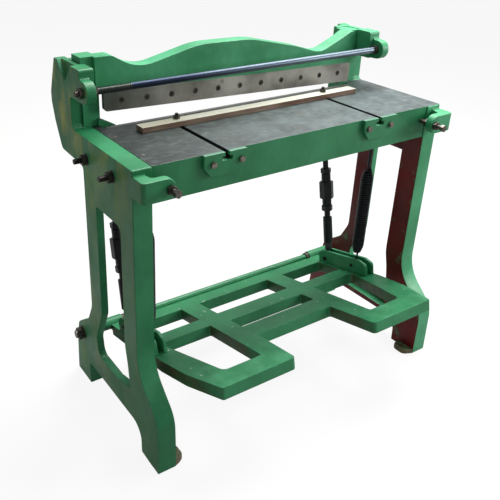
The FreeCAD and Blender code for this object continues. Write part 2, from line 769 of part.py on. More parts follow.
def recessed_bolt(x, z, face_y, inward):
    """Socket-head bolt sunk in a blade: inward is +1 where it runs toward the rear."""
    seat = face_y + inward * (BLADE_BOLT_HEAD_H + 1)
    head = rod(BLADE_BOLT_HEAD_R, vec(x, face_y + inward, z), vec(x, seat, z))
    socket = hexagon(BLADE_BOLT_SOCKET_AF, vec(x, face_y, z), vec(x, face_y + inward * (1 + BLADE_BOLT_SOCKET_H), z))
    tip = face_y + inward * (BLADE_T + BLADE_BOLT_DEPTH - 2)
    shank = rod(BLADE_BOLT_R, vec(x, seat - inward, z), vec(x, tip, z))
    return head.cut(socket).fuse(shank)


def recess(x, z, face_y, inward):
    seat = face_y + inward * (BLADE_BOLT_HEAD_H + 1)
    wide = rod(BLADE_BOLT_HEAD_R + BOLT_CLEARANCE, vec(x, face_y - inward, z), vec(x, seat, z))
    narrow = rod(BLADE_BOLT_R + BOLT_CLEARANCE, vec(x, seat - inward, z), vec(x, face_y + inward * (BLADE_T + 1), z))
    return wide.fuse(narrow)


def lower_blade():
    blade = block(-BLADE_HALF, BLADE_HALF, BED_BACK_Y, CUT_Y - BLADE_GAP, BED_TOP - LOWER_BLADE_H, BED_TOP)
    return blade.cut([recess(x, lower_bolt_z(), CUT_Y - BLADE_GAP, -1) for x in blade_bolt_xs()])


def lower_blade_bolts():
    return Part.makeCompound([recessed_bolt(x, lower_bolt_z(), CUT_Y - BLADE_GAP, -1) for x in blade_bolt_xs()])


def between(left, right, x, half):
    """Value at x on a straight line from left at -half to right at +half."""
    return left + (right - left) * (x + half) / (2 * half)


def upper_bolt_z(x):
    edge = between(UPPER_BLADE_LOW_LEFT, UPPER_BLADE_LOW_RIGHT, x, BLADE_HALF)
    return edge + between(BLADE_BOLT_ABOVE_EDGE_LEFT, BLADE_BOLT_ABOVE_EDGE_RIGHT, x, BLADE_HALF)


def upper_blade():
    left = UPPER_BLADE_LOW_LEFT
    right = UPPER_BLADE_LOW_RIGHT
    blade = through(
        [
            (-BLADE_HALF, left + BLADE_CORNER, 0),
            (-BLADE_HALF + BLADE_CORNER, left, 0),
            (BLADE_HALF, right, 0),
            (BLADE_HALF, right + UPPER_BLADE_H_RIGHT, 0),
            (-BLADE_HALF, left + UPPER_BLADE_H_LEFT, 0),
        ],
        CUT_Y, BEAM_FRONT_Y,
    )
    return blade.cut([recess(x, upper_bolt_z(x), CUT_Y, 1) for x in blade_bolt_xs()])


def upper_blade_bolts():
    return Part.makeCompound([recessed_bolt(x, upper_bolt_z(x), CUT_Y, 1) for x in blade_bolt_xs()])


# Crosshead


def beam_top():
    """Top edge from the left shoulder over the crown to the right one."""
    crown = BEAM_TOP_LEFT + CROWN_OVER_LEFT
    dip = BEAM_TOP_RIGHT - DIP_RIGHT_DEPTH
    dip_x = BEAM_HALF - DIP_RIGHT_IN
    flank_x = (CROWN_RIGHT_X + dip_x) / 2
    return [
        (-BEAM_HALF, BEAM_TOP_LEFT, 3),
        (-BEAM_HALF + SHOULDER_LEFT_W, BEAM_TOP_LEFT, 30),
        (-BEAM_HALF + DIP_LEFT_IN, BEAM_TOP_LEFT - DIP_LEFT_DEPTH, 140),
        (CROWN_LEFT_X, crown, 300),
        (CROWN_RIGHT_X, crown - 3, 300),
        (flank_x + 40, dip + 33, 400),
        (dip_x, dip, 90),
        (dip_x + 97, dip + 41, 60),
        (BEAM_HALF - SHOULDER_RIGHT_W, BEAM_TOP_RIGHT, 8),
        (BEAM_HALF, BEAM_TOP_RIGHT, 3),
    ]


def tongue(top):
    """Slide at one end of the crosshead, with the lug for the link's pin at its foot."""
    slide = block(TONGUE_INNER_X, TONGUE_OUT_X, TONGUE_FRONT_Y, TONGUE_BACK_Y, TONGUE_LOW_Z, top)
    pin_end = vec(LINK_X + LINK_EYE_T / 2 + 1, UPPER_PIN_Y, UPPER_PIN_Z)
    boss = rod(UPPER_BOSS_R, pin_end, vec(TONGUE_INNER_X + 1, UPPER_PIN_Y, UPPER_PIN_Z))
    hole = rod(UPPER_PIN_R, pin_end - vec(1, 0, 0), vec(TONGUE_OUT_X + 1, UPPER_PIN_Y, UPPER_PIN_Z))
    return slide.fuse(boss).cut(hole)


def beam_body():
    low = [(BEAM_HALF, BEAM_LOW_RIGHT, 2), (-BEAM_HALF, BEAM_LOW_LEFT, 2)]
    return through(beam_top() + low, BEAM_FRONT_Y, BEAM_FRONT_Y + BEAM_T)


def blade_rib():
    """Thicker lower edge of the crosshead, which backs the blade all along."""
    half = CORNER_WEB_INNER_X - 2
    low_left = between(UPPER_BLADE_LOW_LEFT, UPPER_BLADE_LOW_RIGHT, -half, BLADE_HALF) + 16
    low_right = between(UPPER_BLADE_LOW_LEFT, UPPER_BLADE_LOW_RIGHT, half, BLADE_HALF) + 16
    return through(
        [
            (-half, low_left, 0),
            (half, low_right, 0),
            (half, BEAM_LOW_RIGHT + 6, 0),
            (-half, BEAM_LOW_LEFT + 6, 0),
        ],
        BEAM_FRONT_Y, BEAM_FRONT_Y + BEAM_T * 0.7,
    )


def upper_beam():
    body = beam_body()
    solid = body.fuse([tongue(BEAM_TOP_RIGHT), mirrored(tongue(BEAM_TOP_LEFT)), blade_rib()])
    cuts = []
    for x in blade_bolt_xs():
        z = upper_bolt_z(x)
        cuts.append(rod(BLADE_BOLT_R + BOLT_CLEARANCE, vec(x, BEAM_FRONT_Y - 1, z), vec(x, BEAM_FRONT_Y + BLADE_BOLT_DEPTH, z)))
    return solid.cut(cuts).removeSplitter()


def upper_link_pin():
    start = vec(LINK_X - LINK_EYE_T / 2 - PIN_HEAD, UPPER_PIN_Y, UPPER_PIN_Z)
    return rod(UPPER_PIN_R, start, vec(TONGUE_OUT_X - 1, UPPER_PIN_Y, UPPER_PIN_Z))


# Tie rod, studs and the treadle's shaft


def tie_rod():
    end_x = FRAME_OUT + TIE_ROD_NUT_H + TIE_ROD_TIP
    inner_x = FRAME_OUT - EAR_T - TIE_ROD_NUT_H
    middle = rod(TIE_ROD_R, vec(-inner_x, TIE_ROD_Y, TIE_ROD_Z), vec(inner_x, TIE_ROD_Y, TIE_ROD_Z))
    return middle.fuse(rod(TIE_ROD_END_R, vec(-end_x, TIE_ROD_Y, TIE_ROD_Z), vec(end_x, TIE_ROD_Y, TIE_ROD_Z)))


def tie_rod_nuts():
    inner = FRAME_OUT - EAR_T
    nuts = []
    for x0, x1 in ((inner - TIE_ROD_NUT_H, inner), (FRAME_OUT, FRAME_OUT + TIE_ROD_NUT_H)):
        nuts.append(nut(TIE_ROD_NUT_AF, TIE_ROD_END_R, vec(x0, TIE_ROD_Y, TIE_ROD_Z), vec(x1, TIE_ROD_Y, TIE_ROD_Z)))
    return both_sides(nuts)


def bed_studs():
    start = BED_HALF - BED_END_WALL
    return both_sides([rod(STUD_R, vec(start, y, z), vec(FRAME_OUT + STUD_OUT, y, z)) for y, z in stud_places()])


def bed_stud_washers():
    return both_sides(
        [ring(STUD_WASHER_R, STUD_R, vec(FRAME_OUT, y, z), vec(FRAME_OUT + WASHER_T, y, z)) for y, z in stud_places()]
    )


def bed_stud_nuts():
    start = FRAME_OUT + WASHER_T
    return both_sides(
        [nut(STUD_NUT_AF, STUD_R, vec(start, y, z), vec(start + STUD_NUT_H, y, z)) for y, z in stud_places()]
    )


def shaft_point(x):
    return vec(x, SHAFT_Y, SHAFT_Z)


def pivot_shaft():
    end = FRAME_OUT + WASHER_T + SHAFT_NUT_H + SHAFT_TIP
    return rod(SHAFT_R, shaft_point(-end), shaft_point(end))


def shaft_washers():
    outer = ring(STUD_WASHER_R + 6, SHAFT_R, shaft_point(FRAME_OUT), shaft_point(FRAME_OUT + WASHER_T))
    return both_sides([outer])


def shaft_nuts():
    start = FRAME_OUT + WASHER_T
    return both_sides([nut(SHAFT_NUT_AF, SHAFT_R, shaft_point(start), shaft_point(start + SHAFT_NUT_H))])


def shaft_collars():
    end = HUB_INNER_X - FACE_GAP
    return both_sides([ring(COLLAR_R, SHAFT_R, shaft_point(end - COLLAR_W), shaft_point(end))])


# Adjusting screws


def adjusting_screw():
    head_y = LUG_FRONT_Y - ADJUSTER_OUT
    shank = rod(ADJUSTER_R, adjuster_axis(head_y - 1), adjuster_axis(-FACE_GAP))
    head = hexagon(ADJUSTER_HEAD_AF, adjuster_axis(head_y - ADJUSTER_HEAD_H), adjuster_axis(head_y))
    return head.fuse(shank)


def adjuster_nuts():
    bore = ADJUSTER_R + ROD_CLEARANCE
    back = LUG_FRONT_Y + LUG_T
    outer = nut(ADJUSTER_NUT_AF, bore, adjuster_axis(LUG_FRONT_Y - ADJUSTER_NUT_H), adjuster_axis(LUG_FRONT_Y))
    inner = nut(ADJUSTER_NUT_AF, bore, adjuster_axis(back), adjuster_axis(back + ADJUSTER_NUT_H))
    return both_sides([outer, inner])


def bed_top_screws():
    screws = []
    for y in (TOP_SCREW_FRONT_Y, TOP_SCREW_REAR_Y):
        body = rod(TOP_SCREW_R, vec(TOP_SCREW_X, y, BED_TOP - TOP_SCREW_DEPTH + 1), vec(TOP_SCREW_X, y, BED_TOP))
        screws.append(body)
    return both_sides(screws)


# Gauge bar and its T-bolts


def gauge_bar():
    bar = block(-GAUGE_HALF, GAUGE_HALF, GAUGE_FRONT_Y, GAUGE_FRONT_Y + GAUGE_W, BED_TOP + SLIDE_GAP, BED_TOP + SLIDE_GAP + GAUGE_H)
    holes = []
    for x in (-SLOT_X, SLOT_X):
        holes.append(rod(GAUGE_STUD_R + BOLT_CLEARANCE, vec(x, GAUGE_STUD_Y, BED_TOP - 1), vec(x, GAUGE_STUD_Y, BED_TOP + GAUGE_H + 2)))
    return bar.cut(holes)


def gauge_t_bolt():
    head_top = BED_TOP - SLOT_NECK_H - SLIDE_GAP
    head_low = head_top - SLOT_HEAD_H + SLIDE_GAP + T_HEAD_UNDER
    half = SLOT_HEAD_W / 2 - T_HEAD_SIDE
    y0 = GAUGE_STUD_Y - T_HEAD_LENGTH / 2
    head = block(SLOT_X - half, SLOT_X + half, y0, y0 + T_HEAD_LENGTH, head_low, head_top)
    tip = BED_TOP + SLIDE_GAP + GAUGE_H + GAUGE_STUD_OUT
    return head.fuse(rod(GAUGE_STUD_R, vec(SLOT_X, GAUGE_STUD_Y, head_top - 1), vec(SLOT_X, GAUGE_STUD_Y, tip)))


def gauge_washers():
    z = BED_TOP + SLIDE_GAP + GAUGE_H
    return both_sides([ring(GAUGE_WASHER_R, GAUGE_STUD_R, vec(SLOT_X, GAUGE_STUD_Y, z), vec(SLOT_X, GAUGE_STUD_Y, z + WASHER_T))])


def gauge_nuts():
    z = BED_TOP + SLIDE_GAP + GAUGE_H + WASHER_T
    return both_sides([nut(GAUGE_NUT_AF, GAUGE_STUD_R, vec(SLOT_X, GAUGE_STUD_Y, z), vec(SLOT_X, GAUGE_STUD_Y, z + GAUGE_NUT_H))])


# Treadle, built flat: its outline is in X and -U, its top at height 0


def flat(corners, low=-SLAB_T, top=0.0):
    """Slab of the treadle from corners (x, u, radius)."""
    return upright([(x, -u, r) for x, u, r in corners], low, top)


def treadle_outline():
    right = [
        (END_BAR_OUT_X, BACK_EDGE_U, 4),
        (END_BAR_OUT_X, 352, 30),
        (END_BAR_OUT_X - 14, 474, 40),
        (END_BAR_OUT_X - 50, PAD_FRONT_U, 8),
        (CROSS_BAR_X + 6, PAD_FRONT_U, 14),
        (CROSS_BAR_X - 2, FRONT_BAR_END_U, 8),
    ]
    return right + [(-x, u, r) for x, u, r in reversed(right)]


def treadle_windows():
    """Openings between the bars: one long and one short row, and one in each foot pad."""
    side_x = CROSS_BAR_X + CROSS_BAR_W
    middle_first = [(-CROSS_BAR_X, BACK_BAR_U, 4), (CROSS_BAR_X, BACK_BAR_U, 4), (CROSS_BAR_X, SECOND_BAR_U, 4), (-CROSS_BAR_X, SECOND_BAR_U, 4)]
    start = SECOND_BAR_U + SECOND_BAR_MID_W
    middle_second = [(-CROSS_BAR_X, start, 4), (CROSS_BAR_X, start, 4), (CROSS_BAR_X, FRONT_BAR_U, 4), (-CROSS_BAR_X, FRONT_BAR_U, 4)]
    side = [(side_x, BACK_BAR_U, 4), (END_BAR_X, BACK_BAR_U, 4), (END_BAR_X, SECOND_BAR_U, 4), (side_x, SECOND_BAR_U, 4)]
    pad_start = SECOND_BAR_U + SECOND_BAR_SIDE_W
    pad = [
        (side_x - 2, pad_start, 6),
        (END_BAR_X, pad_start, 12),
        (END_BAR_X - 16, 340, 60),
        (END_BAR_X - 54, PAD_HOLE_FRONT_U, 20),
        (side_x - 2, PAD_HOLE_FRONT_U, 6),
    ]
    cuts = [flat(middle_first, -SLAB_T - 1, 1), flat(middle_second, -SLAB_T - 1, 1)]
    for corners in (side, pad):
        opening = flat(corners, -SLAB_T - 1, 1)
        cuts.append(opening)
        cuts.append(mirrored(opening))
    return cuts


def treadle_frame():
    """One casting: bars, foot pads and the hubs that turn on the shaft."""
    slab = flat(treadle_outline()).cut(treadle_windows())
    relief_x = HUB_INNER_X - COLLAR_W - COLLAR_RELIEF
    relief = rod(COLLAR_R + COLLAR_RELIEF, vec(relief_x, 0, 0), vec(HUB_INNER_X, 0, 0))
    hub = rod(HUB_R, vec(HUB_INNER_X, 0, 0), vec(HUB_OUT_X, 0, 0))
    web = block(HUB_INNER_X, END_BAR_OUT_X, -BACK_EDGE_U - 8, 0, -HUB_R, 0)
    bore = rod(SHAFT_R + SHAFT_CLEARANCE, vec(HUB_INNER_X - 1, 0, 0), vec(HUB_OUT_X + 1, 0, 0))
    solid = slab.cut([relief, mirrored(relief)])
    solid = solid.fuse([hub, mirrored(hub), web, mirrored(web)])
    return on_treadle(solid.cut([bore, mirrored(bore)]).removeSplitter())


def bracket_plate(x):
    """Upright plate on the treadle's end bar with the holes of both pins."""
    corners = [
        (-BRACKET_BACK_U, 0, 0),
        (-BRACKET_FRONT_U, 0, 0),
        (-BRACKET_FRONT_U, BRACKET_H - 8, 14),
        (-BRACKET_FRONT_U + 34, BRACKET_H + 4, 14),
        (-BRACKET_BACK_U - 20, BRACKET_H, 10),
        (-BRACKET_BACK_U, BRACKET_H - 14, 8),
    ]
    plate = across(corners, x, x + BRACKET_T)
    link_hole = rod(LINK_PIN_R, vec(x - 1, -LINK_PIN_U, LINK_PIN_N), vec(x + BRACKET_T + 1, -LINK_PIN_U, LINK_PIN_N))
    spring_hole = rod(SPRING_PIN_R, vec(x - 1, -SPRING_PIN_U, SPRING_PIN_N), vec(x + BRACKET_T + 1, -SPRING_PIN_U, SPRING_PIN_N))
    return on_treadle(plate.cut([link_hole, spring_hole]))


def bracket_plates():
    return [bracket_plate(NEAR_PLATE_X), bracket_plate(FAR_PLATE_X)]


def bracket_pin(radius, u, n):
    start = NEAR_PLATE_X - PIN_HEAD
    end = FAR_PLATE_X + BRACKET_T + PIN_HEAD
    return on_treadle(rod(radius, vec(start, -u, n), vec(end, -u, n)))


# Links, built along Z with the lower pin at the origin


def lower_link_rod():
    bore_r = LINK_PIN_R + LINK_PIN_FREE
    half = LINK_EYE_T / 2
    eye = rod(LOWER_EYE_R, vec(-half, 0, 0), vec(half, 0, 0))
    shank = block(-half, half, -LOWER_EYE_R + 3, LOWER_EYE_R - 3, 0, SHANK_TOP + 1)
    body = rod(LOWER_ROD_R, vec(0, 0, SHANK_TOP), vec(0, 0, LOWER_ROD_TOP))
    thread = rod(LOWER_THREAD_R, vec(0, 0, LOWER_ROD_TOP - 1), vec(0, 0, SLEEVE_LOW + THREAD_IN_SLEEVE))
    bore = rod(bore_r, vec(-half - 1, 0, 0), vec(half + 1, 0, 0))
    return on_link(eye.fuse([shank, body, thread]).cut(bore).removeSplitter())


def turnbuckle():
    top = SLEEVE_LOW + SLEEVE_H
    body = rod(SLEEVE_R, vec(0, 0, SLEEVE_LOW), vec(0, 0, top))
    grip = hexagon(SLEEVE_HEX_AF, vec(0, 0, SLEEVE_HEX_LOW), vec(0, 0, SLEEVE_HEX_LOW + SLEEVE_HEX_H))
    middle = (SLEEVE_LOW + top) / 2
    low_bore = rod(LOWER_THREAD_R + ROD_CLEARANCE, vec(0, 0, SLEEVE_LOW - 1), vec(0, 0, middle))
    top_bore = rod(UPPER_ROD_R + ROD_CLEARANCE, vec(0, 0, middle - 1), vec(0, 0, top + 1))
    return on_link(body.fuse(grip).cut([low_bore, top_bore]))


def link_locknuts():
    low_end = SLEEVE_LOW - FACE_GAP
    lower = nut(LOWER_NUT_AF, LOWER_THREAD_R, vec(0, 0, low_end - LOWER_NUT_H), vec(0, 0, low_end))
    start = SLEEVE_LOW + SLEEVE_H + FACE_GAP
    upper = nut(UPPER_NUT_AF, UPPER_ROD_R, vec(0, 0, start), vec(0, 0, start + UPPER_NUT_H))
    return Part.makeCompound([on_link(lower), on_link(upper)])


def upper_link_rod():
    length = link_length()
    half = LINK_EYE_T / 2
    start = SLEEVE_LOW + SLEEVE_H - THREAD_IN_SLEEVE
    eye = rod(UPPER_EYE_R, vec(-half, 0, length), vec(half, 0, length))
    body = rod(UPPER_ROD_R, vec(0, 0, start), vec(0, 0, length - UPPER_BOSS_R - 2))
    bore = rod(UPPER_PIN_R + UPPER_PIN_CLEARANCE, vec(-half - 6, 0, length), vec(half + 6, 0, length))
    return on_link(eye.fuse(body).cut(bore))


# Return springs


def arc_edge(start, tangent, end):
    """Circular arc from start, leaving along tangent, to end."""
    chord = end - start
    along = FreeCAD.Vector(chord).normalize()
    side = tangent - along * tangent.dot(along)
    if side.Length < 1e-6:
        return Part.makeLine(start, end)
    half_turn = tangent.getAngle(chord)
    middle = start + chord * 0.5 + side.normalize() * (chord.Length / 2 * math.tan(half_turn / 2))
    return Part.Arc(start, middle, end).toShape()


def biarc(start, start_dir, end, end_dir):
    """Two tangent arcs from one point and direction to another."""
    run = end - start
    both = start_dir + end_dir
    spread = 2 * (1 - start_dir.dot(end_dir))
    reach = run.dot(both)
    length = (math.sqrt(reach * reach + spread * run.dot(run)) - reach) / spread
    joint = (start + end + (start_dir - end_dir) * length) * 0.5
    first = arc_edge(start, start_dir, joint)
    second = arc_edge(end, end_dir * -1, joint)
    return first, second


def coil_point(turn):
    """Point on the spring's wire centre line, counted in turns from its lower end."""
    cone = min(turn, SPRING_TURNS - turn) / SPRING_CONE_TURNS
    radius = SPRING_R - SPRING_WIRE / 2
    if cone < 1:
        radius = SPRING_TIP_R + (radius - SPRING_TIP_R) * math.sin(cone * math.pi / 2)
    low = SPRING_LOW_Z + SPRING_LOW_TAIL + 2 * SPRING_WIRE
    high = SPRING_TOP_Z - 2 * SPRING_WIRE
    angle = 2 * math.pi * turn
    return vec(radius * math.cos(angle), radius * math.sin(angle), low + (high - low) * turn / SPRING_TURNS)


def coil_direction(turn):
    step = 0.001
    return (coil_point(turn + step) - coil_point(turn - step)).normalize()


def coil_path():
    """Straight tail, coils in half turns, straight tail."""
    up = vec(0, 0, 1)
    low = vec(0, 0, SPRING_LOW_Z)
    top = vec(0, 0, SPRING_TOP_Z)
    tail_top = low + up * (SPRING_LOW_TAIL + SPRING_WIRE)
    edges = [Part.makeLine(low, tail_top)]
    edges.extend(biarc(tail_top, up, coil_point(0), coil_direction(0)))
    for i in range(2 * SPRING_TURNS):
        edges.extend(biarc(coil_point(i / 2), coil_direction(i / 2), coil_point((i + 1) / 2), coil_direction((i + 1) / 2)))
    last = SPRING_TURNS
    edges.extend(biarc(coil_point(last), coil_direction(last), top - up * SPRING_WIRE, up))
    edges.append(Part.makeLine(top - up * SPRING_WIRE, top))
    return edges


def least_coil_gap():
    """Smallest free space between neighbouring turns, from points on the centre line."""
    per_turn = 24
    points = [coil_point(i / per_turn) for i in range(SPRING_TURNS * per_turn + 1)]
    least = math.inf
    for i, point in enumerate(points):
        for j in range(i + per_turn // 2, min(i + 2 * per_turn, len(points))):
            least = min(least, point.distanceToPoint(points[j]))
    return least - SPRING_WIRE


def return_spring():
    """One unbroken wire wound close, drawn in at both ends to a straight tail on the axis."""
    sides = 6
    corners = []
    for i in range(sides):
        turn = 2 * math.pi * i / sides
        corners.append((SPRING_WIRE / 2 * math.cos(turn), SPRING_WIRE / 2 * math.sin(turn), 0))
    section = outline(corners, lambda a, b: vec(a, b, SPRING_LOW_Z)).OuterWire
    shell = Part.BRepOffsetAPI.MakePipeShell(Part.Wire(coil_path()))
    shell.add(section)
    shell.build()
    shell.makeSolid()
    spring = shell.shape()
    spring.translate(vec(LINK_X, SPRING_Y, 0))
    return spring


def spring_anchor():
    """Rod hung from the bed's boss; the spring's upper tail meets its foot."""
    return rod(ANCHOR_R, vec(LINK_X, SPRING_Y, SPRING_TOP_Z), vec(LINK_X, SPRING_Y, APRON_LOW + 39))


def anchor_nuts():
    low = vec(LINK_X, SPRING_Y, APRON_LOW - ANCHOR_NUT_H)
    return both_sides([nut(ANCHOR_NUT_AF, ANCHOR_R, low, vec(LINK_X, SPRING_Y, APRON_LOW))])


def spring_eye():
    """Eye on the bracket's pin, whose stem meets the spring's lower tail."""
    half = LINK_EYE_T / 2
    start = vec(LINK_X - half, SPRING_Y, SPRING_PIN_Z)
    end = vec(LINK_X + half, SPRING_Y, SPRING_PIN_Z)
    eye = rod(EYE_R, start, end)
    stem = rod(SPRING_WIRE * 0.8, vec(LINK_X, SPRING_Y, SPRING_PIN_Z), vec(LINK_X, SPRING_Y, SPRING_LOW_Z))
    bore = rod(SPRING_PIN_R + BOLT_CLEARANCE, start - vec(1, 0, 0), end + vec(1, 0, 0))
    return eye.fuse(stem).cut(bore)


def pieces():
    """Every node's name and shape."""
    frame = side_frame()
    spring = return_spring()
    nodes = {
        "right_side_frame": frame,
        "left_side_frame": mirrored(frame),
        "bed": bed(),
        "slot_pads": both_sides([slot_pad()]),
        "slot_pad_bolts": both_sides([pad_bolt(x) for x in pad_bolt_xs()]),
        "lower_blade": lower_blade(),
        "lower_blade_bolts": lower_blade_bolts(),
        "bed_top_screws": bed_top_screws(),
        "bed_studs": bed_studs(),
        "bed_stud_washers": bed_stud_washers(),
        "bed_stud_nuts": bed_stud_nuts(),
        "tie_rod": tie_rod(),
        "tie_rod_nuts": tie_rod_nuts(),
        "pivot_shaft": pivot_shaft(),
        "shaft_washers": shaft_washers(),
        "shaft_nuts": shaft_nuts(),
        "shaft_collars": shaft_collars(),
        "adjuster_locknuts": adjuster_nuts(),
        "spring_anchors": both_sides([spring_anchor()]),
        "spring_anchor_nuts": anchor_nuts(),
        "gauge_bar": gauge_bar(),
        "gauge_t_bolts": both_sides([gauge_t_bolt()]),
        "gauge_washers": gauge_washers(),
        "gauge_nuts": gauge_nuts(),
        "upper_beam": upper_beam(),
        "upper_blade": upper_blade(),
        "upper_blade_bolts": upper_blade_bolts(),
        "upper_link_pins": both_sides([upper_link_pin()]),
        "treadle_frame": treadle_frame(),
        "bracket_plates": both_sides(bracket_plates()),
        "lower_link_pins": both_sides([bracket_pin(LINK_PIN_R, LINK_PIN_U, LINK_PIN_N)]),
        "spring_pins": both_sides([bracket_pin(SPRING_PIN_R, SPRING_PIN_U, SPRING_PIN_N)]),
        "spring_eyes": both_sides([spring_eye()]),
    }
    one_sided = {
        "adjusting_screw": adjusting_screw(),
        "upper_link_rod": upper_link_rod(),
        "turnbuckle": turnbuckle(),
        "link_locknuts": link_locknuts(),
        "lower_link_rod": lower_link_rod(),
        "return_spring": spring,
    }
    for name, shape in one_sided.items():
        nodes["right_" + name] = shape
        nodes["left_" + name] = mirrored(shape)
    return nodes


def main():
    os.makedirs("parts", exist_ok=True)
    for name, shape in pieces().items():
        moved = shape.copy()
        moved.translate(vec(0, -MID_Y, 0))
        moved.exportStep(os.path.join("parts", name + ".step"))
        print(name, "valid" if moved.isValid() else "NOT VALID", len(moved.Solids), "solids")
    print("least gap between the spring's turns, mm:", round(least_coil_gap(), 2))


main()
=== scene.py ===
import json
import math

import bmesh
import bpy
from mathutils import Matrix, Vector
from mathutils.bvhtree import BVHTree
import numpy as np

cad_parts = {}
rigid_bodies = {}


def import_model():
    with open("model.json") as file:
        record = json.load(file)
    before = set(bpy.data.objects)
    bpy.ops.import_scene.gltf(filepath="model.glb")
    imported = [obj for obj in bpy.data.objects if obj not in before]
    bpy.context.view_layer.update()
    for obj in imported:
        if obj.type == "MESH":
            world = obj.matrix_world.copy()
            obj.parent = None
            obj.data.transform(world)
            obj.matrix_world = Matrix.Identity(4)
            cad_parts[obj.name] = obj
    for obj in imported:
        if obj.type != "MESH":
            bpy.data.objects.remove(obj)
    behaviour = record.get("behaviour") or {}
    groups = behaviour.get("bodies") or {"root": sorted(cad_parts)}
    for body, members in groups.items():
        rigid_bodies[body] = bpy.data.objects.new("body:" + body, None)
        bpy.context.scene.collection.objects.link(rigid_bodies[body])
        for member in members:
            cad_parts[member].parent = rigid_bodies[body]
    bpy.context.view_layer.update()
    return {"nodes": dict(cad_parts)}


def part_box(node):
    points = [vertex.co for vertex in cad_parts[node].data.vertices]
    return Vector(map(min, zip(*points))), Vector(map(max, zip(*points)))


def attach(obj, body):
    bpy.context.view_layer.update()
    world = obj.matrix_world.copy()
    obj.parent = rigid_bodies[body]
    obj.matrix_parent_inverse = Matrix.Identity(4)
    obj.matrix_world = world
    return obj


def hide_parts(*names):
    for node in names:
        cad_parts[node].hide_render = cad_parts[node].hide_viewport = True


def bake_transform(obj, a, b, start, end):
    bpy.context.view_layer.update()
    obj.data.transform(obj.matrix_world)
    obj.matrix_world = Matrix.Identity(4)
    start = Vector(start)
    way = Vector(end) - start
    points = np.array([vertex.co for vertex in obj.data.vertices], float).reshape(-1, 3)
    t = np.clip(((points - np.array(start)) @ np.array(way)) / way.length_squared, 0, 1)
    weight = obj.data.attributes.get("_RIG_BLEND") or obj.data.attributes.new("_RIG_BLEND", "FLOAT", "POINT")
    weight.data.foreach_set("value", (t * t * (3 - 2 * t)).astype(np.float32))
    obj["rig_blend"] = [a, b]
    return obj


# A foot-operated sheet-metal shear, dressed around its fixed frame. Sizes are written in millimetres in the
# workshop's own coordinates (X along the blades, Y back from the table's front edge, Z up) and turned to metres.

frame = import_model()

MM = 0.001
FRONT_EDGE_Y = -141.7237 * MM
X, Y, Z = 0, 1, 2

TABLE_TOP_Z = 895.0
SLOT_X = 280.0
SLOT_HEAD_HALF = 16.0
SLOT_FLOOR_Z = 872.0
FRAME_OUT = 557.0
TIE_Y, TIE_Z = 268.0, 1019.0
TIE_END = 579.0
TIE_SHOULDER = 515.0
TIE_THREAD_FROM = 413.0
EAR_OUT_X = 550.0
SHAFT_Y, SHAFT_Z = 382.0, 182.0
SHAFT_PAINT_END_X = 540.0


def at(x, y, z):
    """Point of the shared frame, in metres, from workshop millimetres."""
    return Vector((x * MM, y * MM + FRONT_EDGE_Y, z * MM))


# Working on one mesh at a time


def deselect():
    bpy.ops.object.select_all(action="DESELECT")


def only(*pieces):
    """Leaves just these pieces selected, the first of them active."""
    if bpy.context.object and bpy.context.object.mode == "EDIT":
        bpy.ops.object.mode_set(mode="OBJECT")
    deselect()
    for piece in pieces:
        piece.select_set(True)
    bpy.context.view_layer.objects.active = pieces[0]


def named(name):
    """Names the piece that was just added."""
    piece = bpy.context.object
    piece.name = piece.data.name = name
    return piece


def settle(piece):
    """Puts the object's place and turn into its mesh."""
    only(piece)
    bpy.ops.object.transform_apply(location=True, rotation=True, scale=True)
    return piece


def pick_faces(piece, wanted):
    """In edit mode, selects the faces whose centre passes the test."""
    mesh = bmesh.from_edit_mesh(piece.data)
    for face in mesh.faces:
        face.select_set(wanted(face.calc_center_median()))
    mesh.select_flush_mode()
    bmesh.update_edit_mesh(piece.data)


def pick_points(piece, wanted):
    """In edit mode, selects the points whose place passes the test."""
    mesh = bmesh.from_edit_mesh(piece.data)
    bpy.context.tool_settings.mesh_select_mode = (True, False, False)
    for point in mesh.verts:
        point.select_set(wanted(point.co))
    mesh.select_flush_mode()
    bmesh.update_edit_mesh(piece.data)


def modify(piece, kind, **settings):
    """Adds a modifier, sets it and applies it."""
    only(piece)
    modifier = piece.modifiers.new(kind.title(), kind)
    for key, value in settings.items():
        setattr(modifier, key, value)
    bpy.ops.object.modifier_apply(modifier=modifier.name)
    return piece


def smooth(piece, degrees):
    only(piece)
    bpy.ops.object.shade_smooth_by_angle(angle=math.radians(degrees))
    return piece


def discard(*models):
    only(*models)
    bpy.ops.object.delete()


def joined(name, *pieces):
    only(*pieces)
    bpy.ops.object.join()
    return named(name)


def placed(model, places, name):
    """Copies a model built up along Z to each (foot, direction), as one piece, and throws the model away."""
    made = []
    for foot, direction in places:
        only(model)
        bpy.ops.object.duplicate(linked=False)
        copy = bpy.context.object
        copy.rotation_euler = Vector((0, 0, 1)).rotation_difference(Vector(direction)).to_euler()
        copy.location = foot
        made.append(settle(copy))
    only(*made)
    if len(made) > 1:
        bpy.ops.object.join()
    piece = named(name)
    discard(model)
    return piece


# Camera, at the photograph's viewing angle

CAMERA_PLACE = (-1225.5, -1317.7, 1506.7)
FOCAL_PX = 662.31
PICTURE_PX = 500
SENSOR_MM = 36.0
PRINCIPAL_POINT = (190.25, 210.98)
YAW, PITCH, ROLL = math.radians(32.50), math.radians(25.98), math.radians(0.768)


